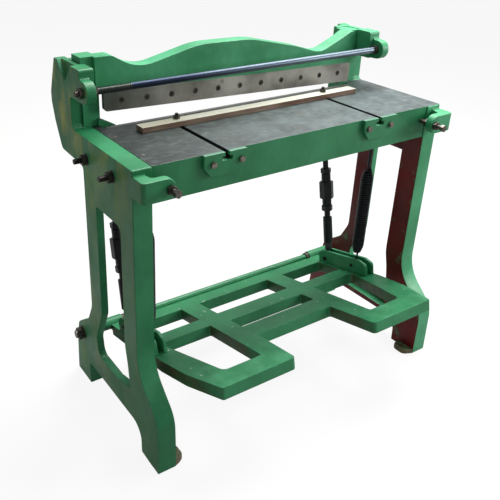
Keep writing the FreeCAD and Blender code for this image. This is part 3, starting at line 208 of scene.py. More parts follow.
def add_camera():
    deselect()
    bpy.ops.object.camera_add(location=at(*CAMERA_PLACE))
    camera = bpy.context.object
    ahead = Vector((math.sin(YAW) * math.cos(PITCH), math.cos(YAW) * math.cos(PITCH), -math.sin(PITCH)))
    level = Vector((math.cos(YAW), -math.sin(YAW), 0))
    upward = level.cross(ahead)
    side = level * math.cos(ROLL) + upward * math.sin(ROLL)
    upward = upward * math.cos(ROLL) - level * math.sin(ROLL)
    camera.rotation_euler = Matrix((side, upward, -ahead)).transposed().to_euler()
    camera.data.sensor_width = SENSOR_MM
    camera.data.lens = FOCAL_PX * SENSOR_MM / PICTURE_PX
    camera.data.shift_x = (PICTURE_PX / 2 - PRINCIPAL_POINT[0]) / PICTURE_PX
    camera.data.shift_y = (PRINCIPAL_POINT[1] - PICTURE_PX / 2) / PICTURE_PX
    camera.data.clip_end = 100
    bpy.context.scene.camera = camera


add_camera()

# Shader nodes

COLOUR_MIX = {"data_type": "RGBA"}
MULTIPLY = {"operation": "MULTIPLY"}
MAXIMUM = {"operation": "MAXIMUM"}
ABSOLUTE = {"operation": "ABSOLUTE"}
OVER = {"operation": "GREATER_THAN"}
UNDER = {"operation": "LESS_THAN"}


def linear(hex_colour):
    """Linear red, green, blue and alpha from an sRGB hex value."""
    parts = [int(hex_colour[i : i + 2], 16) / 255 for i in (1, 3, 5)]
    return [c / 12.92 if c <= 0.04045 else ((c + 0.055) / 1.055) ** 2.4 for c in parts] + [1]


def grain(size_mm):
    """Texture scale whose features are this many millimetres across."""
    return 1000 / size_mm


def add(tree, kind, settings=None, links=None, out=0):
    """Adds a node: settings are its own properties, links are numbers, colours or other nodes' outputs."""
    node = tree.nodes.new("ShaderNode" + kind)
    for key, value in (settings or {}).items():
        setattr(node, key, value)
    for key, value in (links or {}).items():
        if isinstance(value, bpy.types.NodeSocket):
            tree.links.new(value, node.inputs[key])
        else:
            node.inputs[key].default_value = value
    return node.outputs[out]


def empty_material(name):
    material = bpy.data.materials.new(name)
    material.use_nodes = True
    material.node_tree.nodes.clear()
    return material, material.node_tree


def new_material(name):
    """Empty material, its node tree and the object's own coordinates."""
    material, tree = empty_material(name)
    return material, tree, add(tree, "TexCoord", out=3)


def finish_material(material, **surface):
    """Gives the material one principled surface; names use _ for a space."""
    tree = material.node_tree
    links = {key.replace("_", " "): value for key, value in surface.items()}
    shader = add(tree, "BsdfPrincipled", links=links)
    tree.links.new(shader, tree.nodes.new("ShaderNodeOutputMaterial").inputs["Surface"])
    return material


def facing(tree, axis, sign, least=0.7):
    """Mask of the faces that look along one axis."""
    normal = add(tree, "NewGeometry", out=3)
    part = add(tree, "SeparateXYZ", links={"Vector": normal}, out=axis)
    turned = add(tree, "Math", MULTIPLY, {0: part, 1: sign})
    return add(tree, "Math", OVER, {0: turned, 1: least})


def beyond(tree, place, axis, limit_mm, above=True):
    """Mask of the points past a height, width or depth."""
    part = add(tree, "SeparateXYZ", links={"Vector": place}, out=axis)
    return add(tree, "Math", OVER if above else UNDER, {0: part, 1: limit_mm * MM})


def ramp(tree, place, axis, start, end, low=0.0, high=1.0):
    """Value that goes from low to high between two places on an axis, in metres."""
    part = add(tree, "SeparateXYZ", links={"Vector": place}, out=axis)
    reach = {"Value": part, "From Min": start, "From Max": end, "To Min": low, "To Max": high}
    return add(tree, "MapRange", links=reach)


def from_middle(tree, place):
    """Distance from the machine's middle plane, in metres."""
    return add(tree, "Math", ABSOLUTE, {0: add(tree, "SeparateXYZ", links={"Vector": place}, out=X)})


def blotches(tree, place, size_mm, low, high, detail=4):
    """Soft-edged patches of about this size."""
    noise = add(tree, "TexNoise", links={"Vector": place, "Scale": grain(size_mm), "Detail": detail})
    return add(tree, "MapRange", links={"Value": noise, "From Min": low, "From Max": high})


def all_of(tree, *masks):
    """Mask of the points that lie in every one of the masks."""
    result = masks[0]
    for mask in masks[1:]:
        result = add(tree, "Math", MULTIPLY, {0: result, 1: mask})
    return result


def layer(tree, under, over, *masks, share=None):
    """Colour laid over another where all the masks are 1, thinned to a share if one is given."""
    strength = all_of(tree, *masks, share) if share else all_of(tree, *masks)
    under, over = (linear(c) if isinstance(c, str) else c for c in (under, over))
    return add(tree, "Mix", COLOUR_MIX, {0: strength, 6: under, 7: over}, out=2)


def edge_wear(tree, place, width_mm):
    """Mask that is 1 in ragged spots along the sharp edges."""
    rounded = add(tree, "Bevel", {"samples": 4}, {"Radius": width_mm * MM})
    plain = add(tree, "NewGeometry", out=3)
    likeness = add(tree, "VectorMath", {"operation": "DOT_PRODUCT"}, {0: rounded, 1: plain}, out=1)
    ragged = add(tree, "TexNoise", links={"Vector": place, "Scale": grain(9), "Detail": 5, "Roughness": 0.65})
    edge = add(tree, "MapRange", links={"Value": likeness, "From Min": 0.97, "From Max": 0.85})
    spots = add(tree, "MapRange", links={"Value": ragged, "From Min": 0.54, "From Max": 0.62})
    return all_of(tree, edge, spots)


# Finishes

GREEN_COAT = ("#23764A", "#358B5C")
# Lighter copy of the green coat: painted light, used on the right frame, the crosshead and the bracket plates.
PAINTED_LIGHT_COAT = ("#2E8858", "#49A374")
BARE_CASTING = "#6F6247"
FILLER = {1: "#7C8A45", -1: "#A6AE4C"}
OXIDE_TOP_Z = 790.0
FOOT_INNER_X = 500.0


def enamel_colour(tree, place, deep, fresh):
    """Brushed enamel's own colour: broad uneven patches and faint strokes."""
    patches = add(tree, "TexNoise", links={"Vector": place, "Scale": grain(170), "Detail": 4, "Roughness": 0.6})
    spread = add(tree, "MapRange", links={"Value": patches, "From Min": 0.35, "From Max": 0.66})
    colour = layer(tree, deep, fresh, spread)
    stretched = add(tree, "Mapping", links={"Vector": place, "Scale": (1, 1, 0.12)})
    strokes = add(tree, "TexNoise", links={"Vector": stretched, "Scale": grain(12), "Detail": 3})
    stroke_light = add(tree, "MapRange", links={"Value": strokes, "To Min": 0.88, "To Max": 1.12})
    return add(tree, "VectorMath", {"operation": "SCALE"}, {0: colour, "Scale": stroke_light})


def enamel_relief(tree, place):
    """Normal of brush marks over a filled sand casting."""
    peel = add(tree, "TexNoise", links={"Vector": place, "Scale": grain(5), "Detail": 3})
    swell = add(tree, "TexNoise", links={"Vector": place, "Scale": grain(60), "Detail": 2})
    fine = add(tree, "Bump", links={"Strength": 0.10, "Distance": 0.8 * MM, "Height": peel})
    return add(tree, "Bump", links={"Strength": 0.35, "Distance": 2.5 * MM, "Height": swell, "Normal": fine})


def brushed_enamel_on_iron(name, zones=None, glaze=0.45, shade=GREEN_COAT):
    """Air-drying machine enamel brushed over filled grey cast iron: soft gloss, uneven green, chips along the
    edges. zones adds bare or primed places and some painted shade and sheen, and returns the colour, the
    roughness and the metal share."""
    material, tree, place = new_material(name)
    colour = enamel_colour(tree, place, *shade)
    dull = blotches(tree, place, 90, 0.3, 0.75)
    rough = add(tree, "MapRange", links={"Value": dull, "To Min": glaze - 0.09, "To Max": glaze + 0.12})
    colour = layer(tree, colour, "#9DB59C", edge_wear(tree, place, 2.2))
    metal = 0.0
    if zones:
        colour, rough, metal = zones(tree, place, colour, rough)
    return finish_material(
        material, Base_Color=colour, Roughness=rough, Metallic=metal, Normal=enamel_relief(tree, place),
        IOR=1.52, Specular_IOR_Level=0.35,
    )


def planed_iron_colour(tree, place):
    """Planed cast iron under an old oil film: mottled, with painted shade that makes it darkest at the left and
    lighter toward the right, and a faint rust bloom.
    """
    # Painted shade: every tone of the top is darker toward the left and lighter toward the right.
    lit_toward_right = ramp(tree, place, X, -0.50, 0.25)
    film = layer(tree, "#1B2020", "#343D3E", lit_toward_right)
    bare = layer(tree, "#2F3736", "#4F5B5B", lit_toward_right)
    stain = layer(tree, "#272B22", "#6A7773", lit_toward_right)
    streaked = add(tree, "Mapping", links={"Vector": place, "Scale": (0.4, 1, 1)})
    colour = layer(tree, film, bare, blotches(tree, place, 75, 0.34, 0.68, 7))
    colour = layer(tree, colour, stain, blotches(tree, place, 24, 0.42, 0.66, 6), share=0.4)
    colour = layer(tree, colour, "#66716E", blotches(tree, streaked, 10, 0.48, 0.80, 5), share=0.45)
    return layer(tree, colour, "#40382F", blotches(tree, place, 70, 0.60, 0.74), share=0.45)


def planing_relief(tree, place):
    """Tool marks across the bar, drawn 19 mm apart because the real 0.5 mm feed would not show.
    The wave texture repeats after 0.314 of the noise's grain, here 60 mm."""
    wave = {"Vector": place, "Scale": grain(60), "Distortion": 1.5}
    marks = add(tree, "TexWave", {"bands_direction": "Y"}, wave)
    return add(tree, "Bump", links={"Strength": 0.08, "Distance": 0.2 * MM, "Height": marks})


def side_frame_zones(side):
    """Red oxide primer inside, scuffed filler on the outer face, bare soles, and on the right a planed top."""

    def zones(tree, place, colour, rough):
        inner = all_of(tree, facing(tree, X, -side), beyond(tree, place, Z, OXIDE_TOP_Z, above=False))
        oxide = layer(tree, "#600B0C", "#801410", blotches(tree, place, 110, 0.35, 0.7))
        colour = layer(tree, colour, oxide, inner, blotches(tree, place, 60, 0.24, 0.42))

        outer = facing(tree, X, side)
        colour = layer(tree, colour, "#3A6632", outer, blotches(tree, place, 260, 0.30, 0.64, 5), share=0.45)
        scuffs = add(tree, "Mapping", links={"Vector": place, "Scale": (1, 1, 0.45), "Rotation": (0.3, 0, 0)})
        worn = blotches(tree, scuffs, 60, 0.47, 0.70, 8)
        rearward = ramp(tree, place, Y, -0.20, 0.22, low=0.15)
        raised = ramp(tree, place, Z, 0.60, 0.90, low=0.25)
        colour = layer(tree, colour, FILLER[side], outer, worn, rearward, raised)

        foot = ramp(tree, place, Z, 0.024, 0.016)
        lug = beyond(tree, place, X, FOOT_INNER_X * side, above=side < 0)
        sole = facing(tree, Z, -1)
        bare = add(tree, "Math", MAXIMUM, {0: all_of(tree, foot, lug), 1: all_of(tree, sole, foot)})
        colour = layer(tree, colour, BARE_CASTING, bare)

        if side > 0:
            top = all_of(
                tree, facing(tree, Z, 1), beyond(tree, place, Z, TABLE_TOP_Z - 1),
                beyond(tree, place, Z, TABLE_TOP_Z + 1, above=False),
            )
            colour = layer(tree, colour, planed_iron_colour(tree, place), top)
            rough = add(tree, "Mix", None, {0: top, 2: rough, 3: 0.5})
        return colour, rough, 0.0

    return zones


def table_zones(tree, place, colour, rough):
    """The table's planed top and its slots show bare iron."""
    top = all_of(tree, facing(tree, Z, 1), beyond(tree, place, Z, TABLE_TOP_Z - 1.5))
    colour = layer(tree, colour, planed_iron_colour(tree, place), top)
    off_middle = {0: from_middle(tree, place), 1: SLOT_X * MM, 2: (SLOT_HEAD_HALF + 0.5) * MM}
    in_slot = all_of(
        tree, beyond(tree, place, Z, SLOT_FLOOR_Z - 4), beyond(tree, place, Z, TABLE_TOP_Z - 0.5, above=False),
        add(tree, "Math", {"operation": "COMPARE"}, off_middle),
    )
    colour = layer(tree, colour, "#25272A", in_slot)
    rough = add(tree, "Mix", None, {0: top, 2: rough, 3: 0.47})
    return colour, rough, all_of(tree, top, 0.25)


def pad_zones(tree, place, colour, rough):
    """The pads were planed with the table, so their top edge is thinly painted."""
    top = all_of(tree, facing(tree, Z, 1), beyond(tree, place, Z, TABLE_TOP_Z - 1.5))
    colour = layer(tree, colour, "#4F7F68", top)
    return colour, add(tree, "Mix", None, {0: top, 2: rough, 3: 0.42}), 0.0


def shaft_zones(tree, place, colour, rough):
    """The shaft is painted between the hubs and bright where it passes the frames."""
    end = add(tree, "Math", OVER, {0: from_middle(tree, place), 1: SHAFT_PAINT_END_X * MM})
    colour = layer(tree, colour, "#6F6B64", end)
    return colour, add(tree, "Mix", None, {0: end, 2: rough, 3: 0.35}), all_of(tree, end, 0.85)


def treadle_zones(tree, place, colour, rough):
    """Foot wear on the pads lightened as a painted sheen, white specks, and brownish olive on the faces that
    look left.
    """
    # Brownish olive in blotches on the faces that look left.
    brown = layer(tree, "#3F3A26", "#5C5834", blotches(tree, place, 40, 0.35, 0.7))
    leftward = facing(tree, X, -1)
    colour = layer(tree, colour, brown, leftward, blotches(tree, place, 120, 0.34, 0.56), share=0.7)
    # Lighter green in rubbed patches on the upward faces toward the front: foot wear, lightened as a painted
    # sheen.
    upward = facing(tree, Z, 1)
    trodden_and_lit = ramp(tree, place, Y, -0.10, -0.30)
    rubs_and_sheen = blotches(tree, place, 60, 0.40, 0.72, 6)
    colour = layer(tree, colour, "#5FB383", upward, trodden_and_lit, rubs_and_sheen, share=0.5)
    colour = layer(tree, colour, "#CFE0D2", upward, blotches(tree, place, 13, 0.72, 0.76, 2))
    return colour, rough, 0.0


def ground_tool_steel():
    """Surface-ground shear blade, dulled: grey and cloudy, with grinding lines across the edge, painted shade
    that darkens the left end, and darker stains."""
    material, tree, place = new_material("ground_tool_steel")
    clouds = blotches(tree, place, 80, 0.32, 0.7, 5)
    colour = layer(tree, "#76746C", "#A2A199", clouds)
    # Painted shade: the blade darkens toward its left end.
    colour = layer(tree, colour, "#3A4340", ramp(tree, place, X, -0.20, -0.48, high=0.75))
    along = add(tree, "Mapping", links={"Vector": place, "Scale": (1, 1, 0.05)})
    lines = add(tree, "TexNoise", links={"Vector": along, "Scale": grain(2.5), "Detail": 4})
    tone = add(tree, "MapRange", links={"Value": lines, "To Min": 0.86, "To Max": 1.14})
    colour = add(tree, "VectorMath", {"operation": "SCALE"}, {0: colour, "Scale": tone})
    colour = layer(tree, colour, "#5B4636", blotches(tree, place, 26, 0.66, 0.74), share=0.5)
    relief = add(tree, "Bump", links={"Strength": 0.12, "Distance": 0.15 * MM, "Height": lines})
    rough = add(tree, "MapRange", links={"Value": clouds, "To Min": 0.34, "To Max": 0.50})
    return finish_material(material, Base_Color=colour, Metallic=0.65, Roughness=rough, Normal=relief)


def planed_bar_steel():
    """Flat bar of the gauge: planed top, dull at the left and pale toward the right, rusty brown film on its
    sides."""
    material, tree, place = new_material("planed_bar_steel")
    streaked = add(tree, "Mapping", links={"Vector": place, "Scale": (0.15, 1, 1)})
    top = layer(tree, "#A7A490", "#D0D3C4", ramp(tree, place, X, -0.32, 0.38))
    top = layer(tree, top, "#C4C3B4", blotches(tree, streaked, 20, 0.35, 0.7, 5))
    film = layer(tree, "#654A3B", "#978370", blotches(tree, streaked, 30, 0.35, 0.68, 6))
    colour = layer(tree, film, top, facing(tree, Z, 1, 0.6))
    relief = planing_relief(tree, place)
    return finish_material(material, Base_Color=colour, Metallic=0.3, Roughness=0.46, Normal=relief)


def blued_drawn_steel():
    """Cold-drawn rod with an oil-blued skin: near black at the left, brightened toward the right by a painted
    highlight, with a grey thread and dark ends."""
    material, tree, place = new_material("blued_drawn_steel")
    # Painted highlight: the rod's colour brightens from left to right.
    colour = layer(tree, "#1F2738", "#5C6872", ramp(tree, place, X, -0.25, 0.30))
    colour = layer(tree, colour, "#414643", beyond(tree, place, X, -TIE_THREAD_FROM, above=False))
    past_ears = add(tree, "Math", OVER, {0: from_middle(tree, place), 1: EAR_OUT_X * MM})
    colour = layer(tree, colour, "#4A443E", past_ears)
    cloudy = blotches(tree, place, 40, 0.3, 0.7)
    rough = add(tree, "MapRange", links={"Value": cloudy, "To Min": 0.33, "To Max": 0.44})
    return finish_material(material, Base_Color=colour, Metallic=0.9, Roughness=rough)


def steel(name, dark, light, rough, metal):
    """Turned or forged steel with an uneven oily film."""
    material, tree, place = new_material(name)
    film = blotches(tree, place, 12, 0.32, 0.70, 5)
    colour = layer(tree, dark, light, film)
    roughness = add(tree, "MapRange", links={"Value": film, "To Min": rough + 0.08, "To Max": rough - 0.05})
    marks = add(tree, "TexNoise", links={"Vector": place, "Scale": grain(1.6), "Detail": 3})
    relief = add(tree, "Bump", links={"Strength": 0.05, "Distance": 0.2 * MM, "Height": marks})
    return finish_material(material, Base_Color=colour, Metallic=metal, Roughness=roughness, Normal=relief)


def black_enamel(name, base="#0D0F14", worn="#30343C", glaze=0.38):
    """Black lacquer over steel: deep blue-black, soft gloss, grey rub marks where metal shows at the edges."""
    material, tree, place = new_material(name)
    colour = layer(tree, base, "#191C24", blotches(tree, place, 30, 0.4, 0.75, 5))
    colour = layer(tree, colour, worn, edge_wear(tree, place, 1.2))
    marks = add(tree, "TexNoise", links={"Vector": place, "Scale": grain(3), "Detail": 3})
    relief = add(tree, "Bump", links={"Strength": 0.15, "Distance": 0.3 * MM, "Height": marks})
    rough = add(tree, "MapRange", links={"Value": marks, "To Min": glaze - 0.06, "To Max": glaze + 0.1})
    return finish_material(
        material, Base_Color=colour, Roughness=rough, Normal=relief, IOR=1.52, Specular_IOR_Level=0.3,
    )


right_frame_enamel = brushed_enamel_on_iron("brushed_enamel_right_frame", side_frame_zones(1), shade=PAINTED_LIGHT_COAT)
left_frame_enamel = brushed_enamel_on_iron("brushed_enamel_left_frame", side_frame_zones(-1))
table_enamel = brushed_enamel_on_iron("brushed_enamel_and_planed_iron", table_zones)
pad_enamel = brushed_enamel_on_iron("brushed_enamel_pads", pad_zones)
crosshead_enamel = brushed_enamel_on_iron("brushed_enamel_crosshead", shade=PAINTED_LIGHT_COAT)
treadle_enamel = brushed_enamel_on_iron("brushed_enamel_treadle", treadle_zones)
shaft_enamel = brushed_enamel_on_iron("brushed_enamel_on_shaft", shaft_zones, glaze=0.32)
blade_steel = ground_tool_steel()
gauge_steel = planed_bar_steel()
blued_steel = blued_drawn_steel()
hexagon_steel = steel("bright_hexagon_steel", "#5D564F", "#8F887F", 0.44, 0.85)
screw_steel = steel("worn_screw_steel", "#3C3935", "#746E67", 0.42, 0.85)
stud_steel = steel("oiled_black_stud_steel", "#1E1C1C", "#3E3A38", 0.42, 0.75)
nut_steel = steel("oiled_dark_nut_steel", "#33302D", "#5B564F", 0.42, 0.8)
link_enamel = black_enamel("black_lacquer_on_links")
spring_enamel = black_enamel("black_lacquer_on_spring_wire", base="#090B12", worn="#2C3348", glaze=0.34)


def dress(piece, body, slot, material, *stands_for):
    """Paints a piece, says which body carries it and the nodes that it stands for. The record slot is not used.
    """
    piece.data.materials.clear()
    piece.data.materials.append(material)
    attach(piece, body)
    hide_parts(*stands_for)
    return piece


# Castings with softened edges

SHARP_DEGREES = 28
SMOOTH_DEGREES = 35
TRIES = 4


def loose_copy(node, name):
    """Copy of a node's mesh with its doubled points merged and its flat faces made whole."""
    only(frame["nodes"][node])
    bpy.ops.object.duplicate(linked=False)
    bpy.ops.object.parent_clear(type="CLEAR_KEEP_TRANSFORM")
    piece = settle(named(name))
    if piece.data.has_custom_normals:
        bpy.ops.mesh.customdata_custom_splitnormals_clear()
    bpy.ops.object.mode_set(mode="EDIT")
    bpy.ops.mesh.select_all(action="SELECT")
    bpy.ops.mesh.remove_doubles(threshold=2e-5)
    bpy.ops.mesh.normals_make_consistent(inside=False)
    bpy.ops.mesh.dissolve_limited(angle_limit=math.radians(0.3))
    bpy.ops.object.mode_set(mode="OBJECT")
    return piece


def inside(box, point, margin=1.5 * MM):
    """Whether a point lies in a box with this much to spare on each side."""
    return all(low - margin < c < high + margin for low, c, high in zip(box[0], point, box[1]))


def mark_sharp_edges(piece, troubled, reach, hidden):
    """Marks the edges to be rounded, all but those that pass a troubled spot or lie in the hidden box."""
    mesh = bmesh.new()
    mesh.from_mesh(piece.data)
    layers = mesh.edges.layers.float
    weight = layers.get("bevel_weight_edge") or layers.new("bevel_weight_edge")
    for edge in mesh.edges:
        sharp = len(edge.link_faces) == 2 and edge.calc_face_angle(0) > math.radians(SHARP_DEGREES)
        start, run = edge.verts[0].co, edge.verts[1].co - edge.verts[0].co
        if sharp and hidden and inside(hidden, start + run / 2):
            sharp = False
        for spot in troubled if sharp else ():
            share = min(1, max(0, (spot - start).dot(run) / max(run.length_squared, 1e-12)))
            if (start + run * share - spot).length < reach:
                sharp = False
                break
        edge[weight] = 1.0 if sharp else 0.0
    mesh.to_mesh(piece.data)
    mesh.free()


def strayed_points(piece, surface, tolerance):
    """Ends of the edges whose middle or other end has left the casting's own surface."""
    spots = []
    for edge in piece.data.edges:
        ends = [piece.data.vertices[i].co for i in edge.vertices]
        off = [surface.find_nearest(p)[3] > tolerance for p in (*ends, (ends[0] + ends[1]) / 2)]
        if any(off):
            spots += [end.copy() for end, out in zip(ends, off) if not out]
    return spots


def softened(node, radius_mm, steps=2, behind=None):
    """Copy of a node with its sharp edges rounded, as a moulded or filed edge is.
    Edges behind another node, such as a blade's bolt holes, stay sharp."""
    width = radius_mm * MM
    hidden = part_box(behind) if behind else None
    plain = loose_copy(node, node + "_plain")
    surface = BVHTree.FromPolygons(
        [v.co.copy() for v in plain.data.vertices], [tuple(f.vertices) for f in plain.data.polygons]
    )
    troubled = []
    for attempt in range(TRIES):
        mark_sharp_edges(plain, troubled, 1.5 * width, hidden)
        only(plain)
        bpy.ops.object.duplicate(linked=False)
        piece = named(node + "_soft")
        modify(
            piece, "BEVEL", width=width, segments=steps, limit_method="WEIGHT", use_clamp_overlap=False,
            loop_slide=False, miter_outer="MITER_SHARP",
        )
        strayed = strayed_points(piece, surface, width / 2)
        if not strayed:
            break
        troubled += strayed
        if attempt < TRIES - 1:
            discard(piece)
    discard(plain)
    smooth(piece, SMOOTH_DEGREES)
    return modify(piece, "WEIGHTED_NORMAL", keep_sharp=True)


for node, radius_mm, steps, behind, body, slot, material in (
    ("right_side_frame", 3.0, 2, None, "machine", "frame_paint", right_frame_enamel),
    ("left_side_frame", 3.0, 2, None, "machine", "frame_paint", left_frame_enamel),
    ("bed", 1.5, 2, "lower_blade", "machine", "bed_paint", table_enamel),
    ("slot_pads", 1.5, 2, None, "machine", "bed_paint", pad_enamel),
    ("upper_beam", 2.5, 2, "upper_blade", "crosshead", "beam_paint", crosshead_enamel),
    ("treadle_frame", 2.5, 2, None, "treadle", "treadle_paint", treadle_enamel),
    ("bracket_plates", 1.5, 2, None, "treadle", "treadle_paint", crosshead_enamel),
    ("gauge_bar", 0.8, 2, None, "gauge", "gauge_steel", gauge_steel),
    ("lower_blade", 0.4, 1, None, "machine", "blade_steel", blade_steel),
    ("upper_blade", 0.4, 1, None, "crosshead", "blade_steel", blade_steel),
):
    dress(softened(node, radius_mm, steps, behind), body, slot, material, node)

# Hexagons, threads and turned parts, each built up along Z from the origin

NEAR = 1e-6
CHAMFER_DEGREES = 30
CHAMFER_CIRCLE = 0.475
THREAD_DEPTH = 0.62
RIDGE_HALF_FOOT = 0.46
SUNK_MM = 0.3


def hexagon(across_mm, height_mm, both_ends=True):
    """Nut or bolt head with its corners turned off at 30 degrees, down to a circle of 0.95 of its width."""
    corner = across_mm / math.sqrt(3) * MM
    height = height_mm * MM
    deselect()
    bpy.ops.mesh.primitive_cylinder_add(vertices=6, radius=corner, depth=height, location=(0, 0, height / 2))
    prism = settle(named("hexagon"))
    deselect()
    blank = {"vertices": 48, "radius": corner * 1.002, "depth": height}
    bpy.ops.mesh.primitive_cylinder_add(**blank, location=(0, 0, height / 2))
    turned = settle(named("turned_blank"))
    inset = corner - CHAMFER_CIRCLE * across_mm * MM
    rim = corner * 0.97
    for end in (0, height) if both_ends else (height,):
        bpy.ops.object.mode_set(mode="EDIT")
        pick_faces(turned, lambda centre: abs(centre.z - end) < NEAR)
        bpy.ops.mesh.inset(thickness=inset)
        pick_points(turned, lambda p: abs(p.z - end) < NEAR and math.hypot(p.x, p.y) > rim)
        drop = inset * math.tan(math.radians(CHAMFER_DEGREES)) * (1 if end == 0 else -1)
        bpy.ops.transform.translate(value=(0, 0, drop))
        bpy.ops.object.mode_set(mode="OBJECT")
    modify(prism, "BOOLEAN", operation="INTERSECT", object=turned, solver="EXACT")
    discard(turned)
    return smooth(prism, 25)


def bar(radius_mm, length_mm, tip_mm=1.0, sides=32):
    """Round bar with its far end chamfered."""
    radius, length = radius_mm * MM, length_mm * MM
    deselect()
    bpy.ops.mesh.primitive_cylinder_add(vertices=sides, radius=radius, depth=length, location=(0, 0, length / 2))
    piece = settle(named("bar"))
    bpy.ops.object.mode_set(mode="EDIT")
    pick_faces(piece, lambda centre: abs(centre.z - length) < NEAR)
    bpy.ops.mesh.inset(thickness=tip_mm * MM)
    rim = (radius_mm - tip_mm / 2) * MM
    pick_points(piece, lambda p: abs(p.z - length) < NEAR and math.hypot(p.x, p.y) > rim)
    bpy.ops.transform.translate(value=(0, 0, -tip_mm * MM))
    bpy.ops.object.mode_set(mode="OBJECT")
    return smooth(piece, SMOOTH_DEGREES)


def thread(radius_mm, pitch_mm, start_mm, length_mm, steps=20):
    """Raised helix of a screw thread, its foot sunk in the bar that it lies on."""
    foot = radius_mm - THREAD_DEPTH * pitch_mm - SUNK_MM
    half = RIDGE_HALF_FOOT * pitch_mm
    deselect()
    bpy.ops.mesh.primitive_circle_add(vertices=3, radius=1 * MM, fill_type="NOTHING", location=(0, 0, 0))
    ridge = named("thread")
    for point, (out, up) in zip(ridge.data.vertices, ((radius_mm, 0.0), (foot, half), (foot, -half))):
        point.co = (out * MM, 0, (start_mm + pitch_mm / 2 + up) * MM)
    modify(
        ridge, "SCREW", axis="Z", angle=2 * math.pi, screw_offset=pitch_mm * MM,
        iterations=max(1, int(length_mm / pitch_mm) - 1), steps=steps, render_steps=steps,
        use_normal_calculate=True,
    )
    bpy.ops.object.mode_set(mode="EDIT")
    bpy.ops.mesh.select_all(action="SELECT")
    bpy.ops.mesh.fill_holes(sides=4)
    bpy.ops.mesh.select_all(action="SELECT")
    bpy.ops.mesh.remove_doubles(threshold=NEAR)
    bpy.ops.mesh.normals_make_consistent(inside=False)
    bpy.ops.object.mode_set(mode="OBJECT")
    return smooth(ridge, 30)


def screwed_bar(radius_mm, length_mm, pitch_mm, thread_from_mm, thread_to_mm):
    """Bar with a thread over one stretch; its core is a little thinner than the thread."""
    core = bar(radius_mm - 0.55 * THREAD_DEPTH * pitch_mm, length_mm)
    ridge = thread(radius_mm, pitch_mm, thread_from_mm, thread_to_mm - thread_from_mm)
    return joined("screwed_bar", core, ridge)


SIDES = ((1, "right"), (-1, "left"))
OUTWARD = {1: (1, 0, 0), -1: (-1, 0, 0)}
REARWARD, FORWARD, UPWARD = (0, 1, 0), (0, -1, 0), (0, 0, 1)
WASHER = 3.0
STUDS = ((268.0, 833.0), (108.0, 840.0))
STUD_IN_X = 474.0
SPRING_X, SPRING_Y = 436.0, 146.76
ANCHOR_NUT_Z = 782.0
ANCHOR_FOOT_Z = 653.0
GAUGE_Y, GAUGE_TOP_Z = 246.0, 911.4
ADJUSTER_X, ADJUSTER_Z = 478.0, 850.0
ADJUSTER_SHANK_Y, ADJUSTER_HEAD_Y = -82.0, -83.0
FRONT_LOCK_Y, REAR_LOCK_Y = -68.0, -32.0
PAD_BOLT_Y, PAD_BOLT_Z = -12.0, 867.0
PAD_BOLT_SPREAD = 45.0


def both(x, y, z, direction=None):
    """Right and left place of a part, looking outwards unless a direction is given."""
    return [(at(side * x, y, z), direction or OUTWARD[side]) for side in (1, -1)]


def at_studs(x):
    """The four places at this distance out on the studs that hold the bed."""
    return [place for y, z in STUDS for place in both(x, y, z)]


def at_shaft(x):
    return both(x, SHAFT_Y, SHAFT_Z)


tie_nut_places = both(TIE_SHOULDER, TIE_Y, TIE_Z) + both(FRAME_OUT, TIE_Y, TIE_Z)
lock_places = [p for y in (FRONT_LOCK_Y, REAR_LOCK_Y) for p in both(ADJUSTER_X, y, ADJUSTER_Z, REARWARD)]
pad_bolt_x = (SLOT_X - PAD_BOLT_SPREAD, SLOT_X + PAD_BOLT_SPREAD)
pad_bolt_places = [p for x in pad_bolt_x for p in both(x, PAD_BOLT_Y, PAD_BOLT_Z, FORWARD)]
anchor_places = both(SPRING_X, SPRING_Y, ANCHOR_FOOT_Z, UPWARD)
anchor_nut_places = both(SPRING_X, SPRING_Y, ANCHOR_NUT_Z, UPWARD)
gauge_washer_places = both(SLOT_X, GAUGE_Y, GAUGE_TOP_Z, UPWARD)
gauge_nut_places = both(SLOT_X, GAUGE_Y, GAUGE_TOP_Z + WASHER, UPWARD)

stud = screwed_bar(8, 121, 2, thread_from_mm=84, thread_to_mm=121)
for model, places, name, body, material, node in (
    (stud, at_studs(STUD_IN_X), "bed_studs_threaded", "machine", stud_steel, "bed_studs"),
    (bar(17, WASHER, 0.6, 40), at_studs(FRAME_OUT), "bed_washers", "machine", nut_steel, "bed_stud_washers"),
    (hexagon(26, 14), at_studs(FRAME_OUT + WASHER), "bed_nuts", "machine", nut_steel, "bed_stud_nuts"),
    (hexagon(26, 13), tie_nut_places, "tie_nuts", "machine", nut_steel, "tie_rod_nuts"),
    (bar(12.5, 584, 1.5, 40), at_shaft(0), "treadle_shaft", "machine", shaft_enamel, "pivot_shaft"),
    (bar(23, WASHER, 0.6, 40), at_shaft(FRAME_OUT), "shaft_washer_pair", "machine", nut_steel, "shaft_washers"),
    (hexagon(36, 18), at_shaft(FRAME_OUT + WASHER), "shaft_nut_pair", "machine", nut_steel, "shaft_nuts"),
    (hexagon(24, 11), lock_places, "adjuster_locks", "machine", nut_steel, "adjuster_locknuts"),
    (hexagon(16, 8, False), pad_bolt_places, "pad_bolts", "machine", hexagon_steel, "slot_pad_bolts"),
    (hexagon(19, 10), anchor_nut_places, "anchor_nut_pair", "machine", nut_steel, "spring_anchor_nuts"),
    (hexagon(17, 8), gauge_nut_places, "gauge_nut_pair", "gauge", nut_steel, "gauge_nuts"),
    (bar(10, WASHER, 0.5), gauge_washer_places, "gauge_washer_pair", "gauge", hexagon_steel, "gauge_washers"),
):
    dress(placed(model, places, name), body, "bolt_steel", material, node)

anchor = screwed_bar(6, 139, 1.75, thread_from_mm=84, thread_to_mm=138)
anchors = placed(anchor, anchor_places, "anchor_rods")
dress(anchors, "machine", "link_black", link_enamel, "spring_anchors")


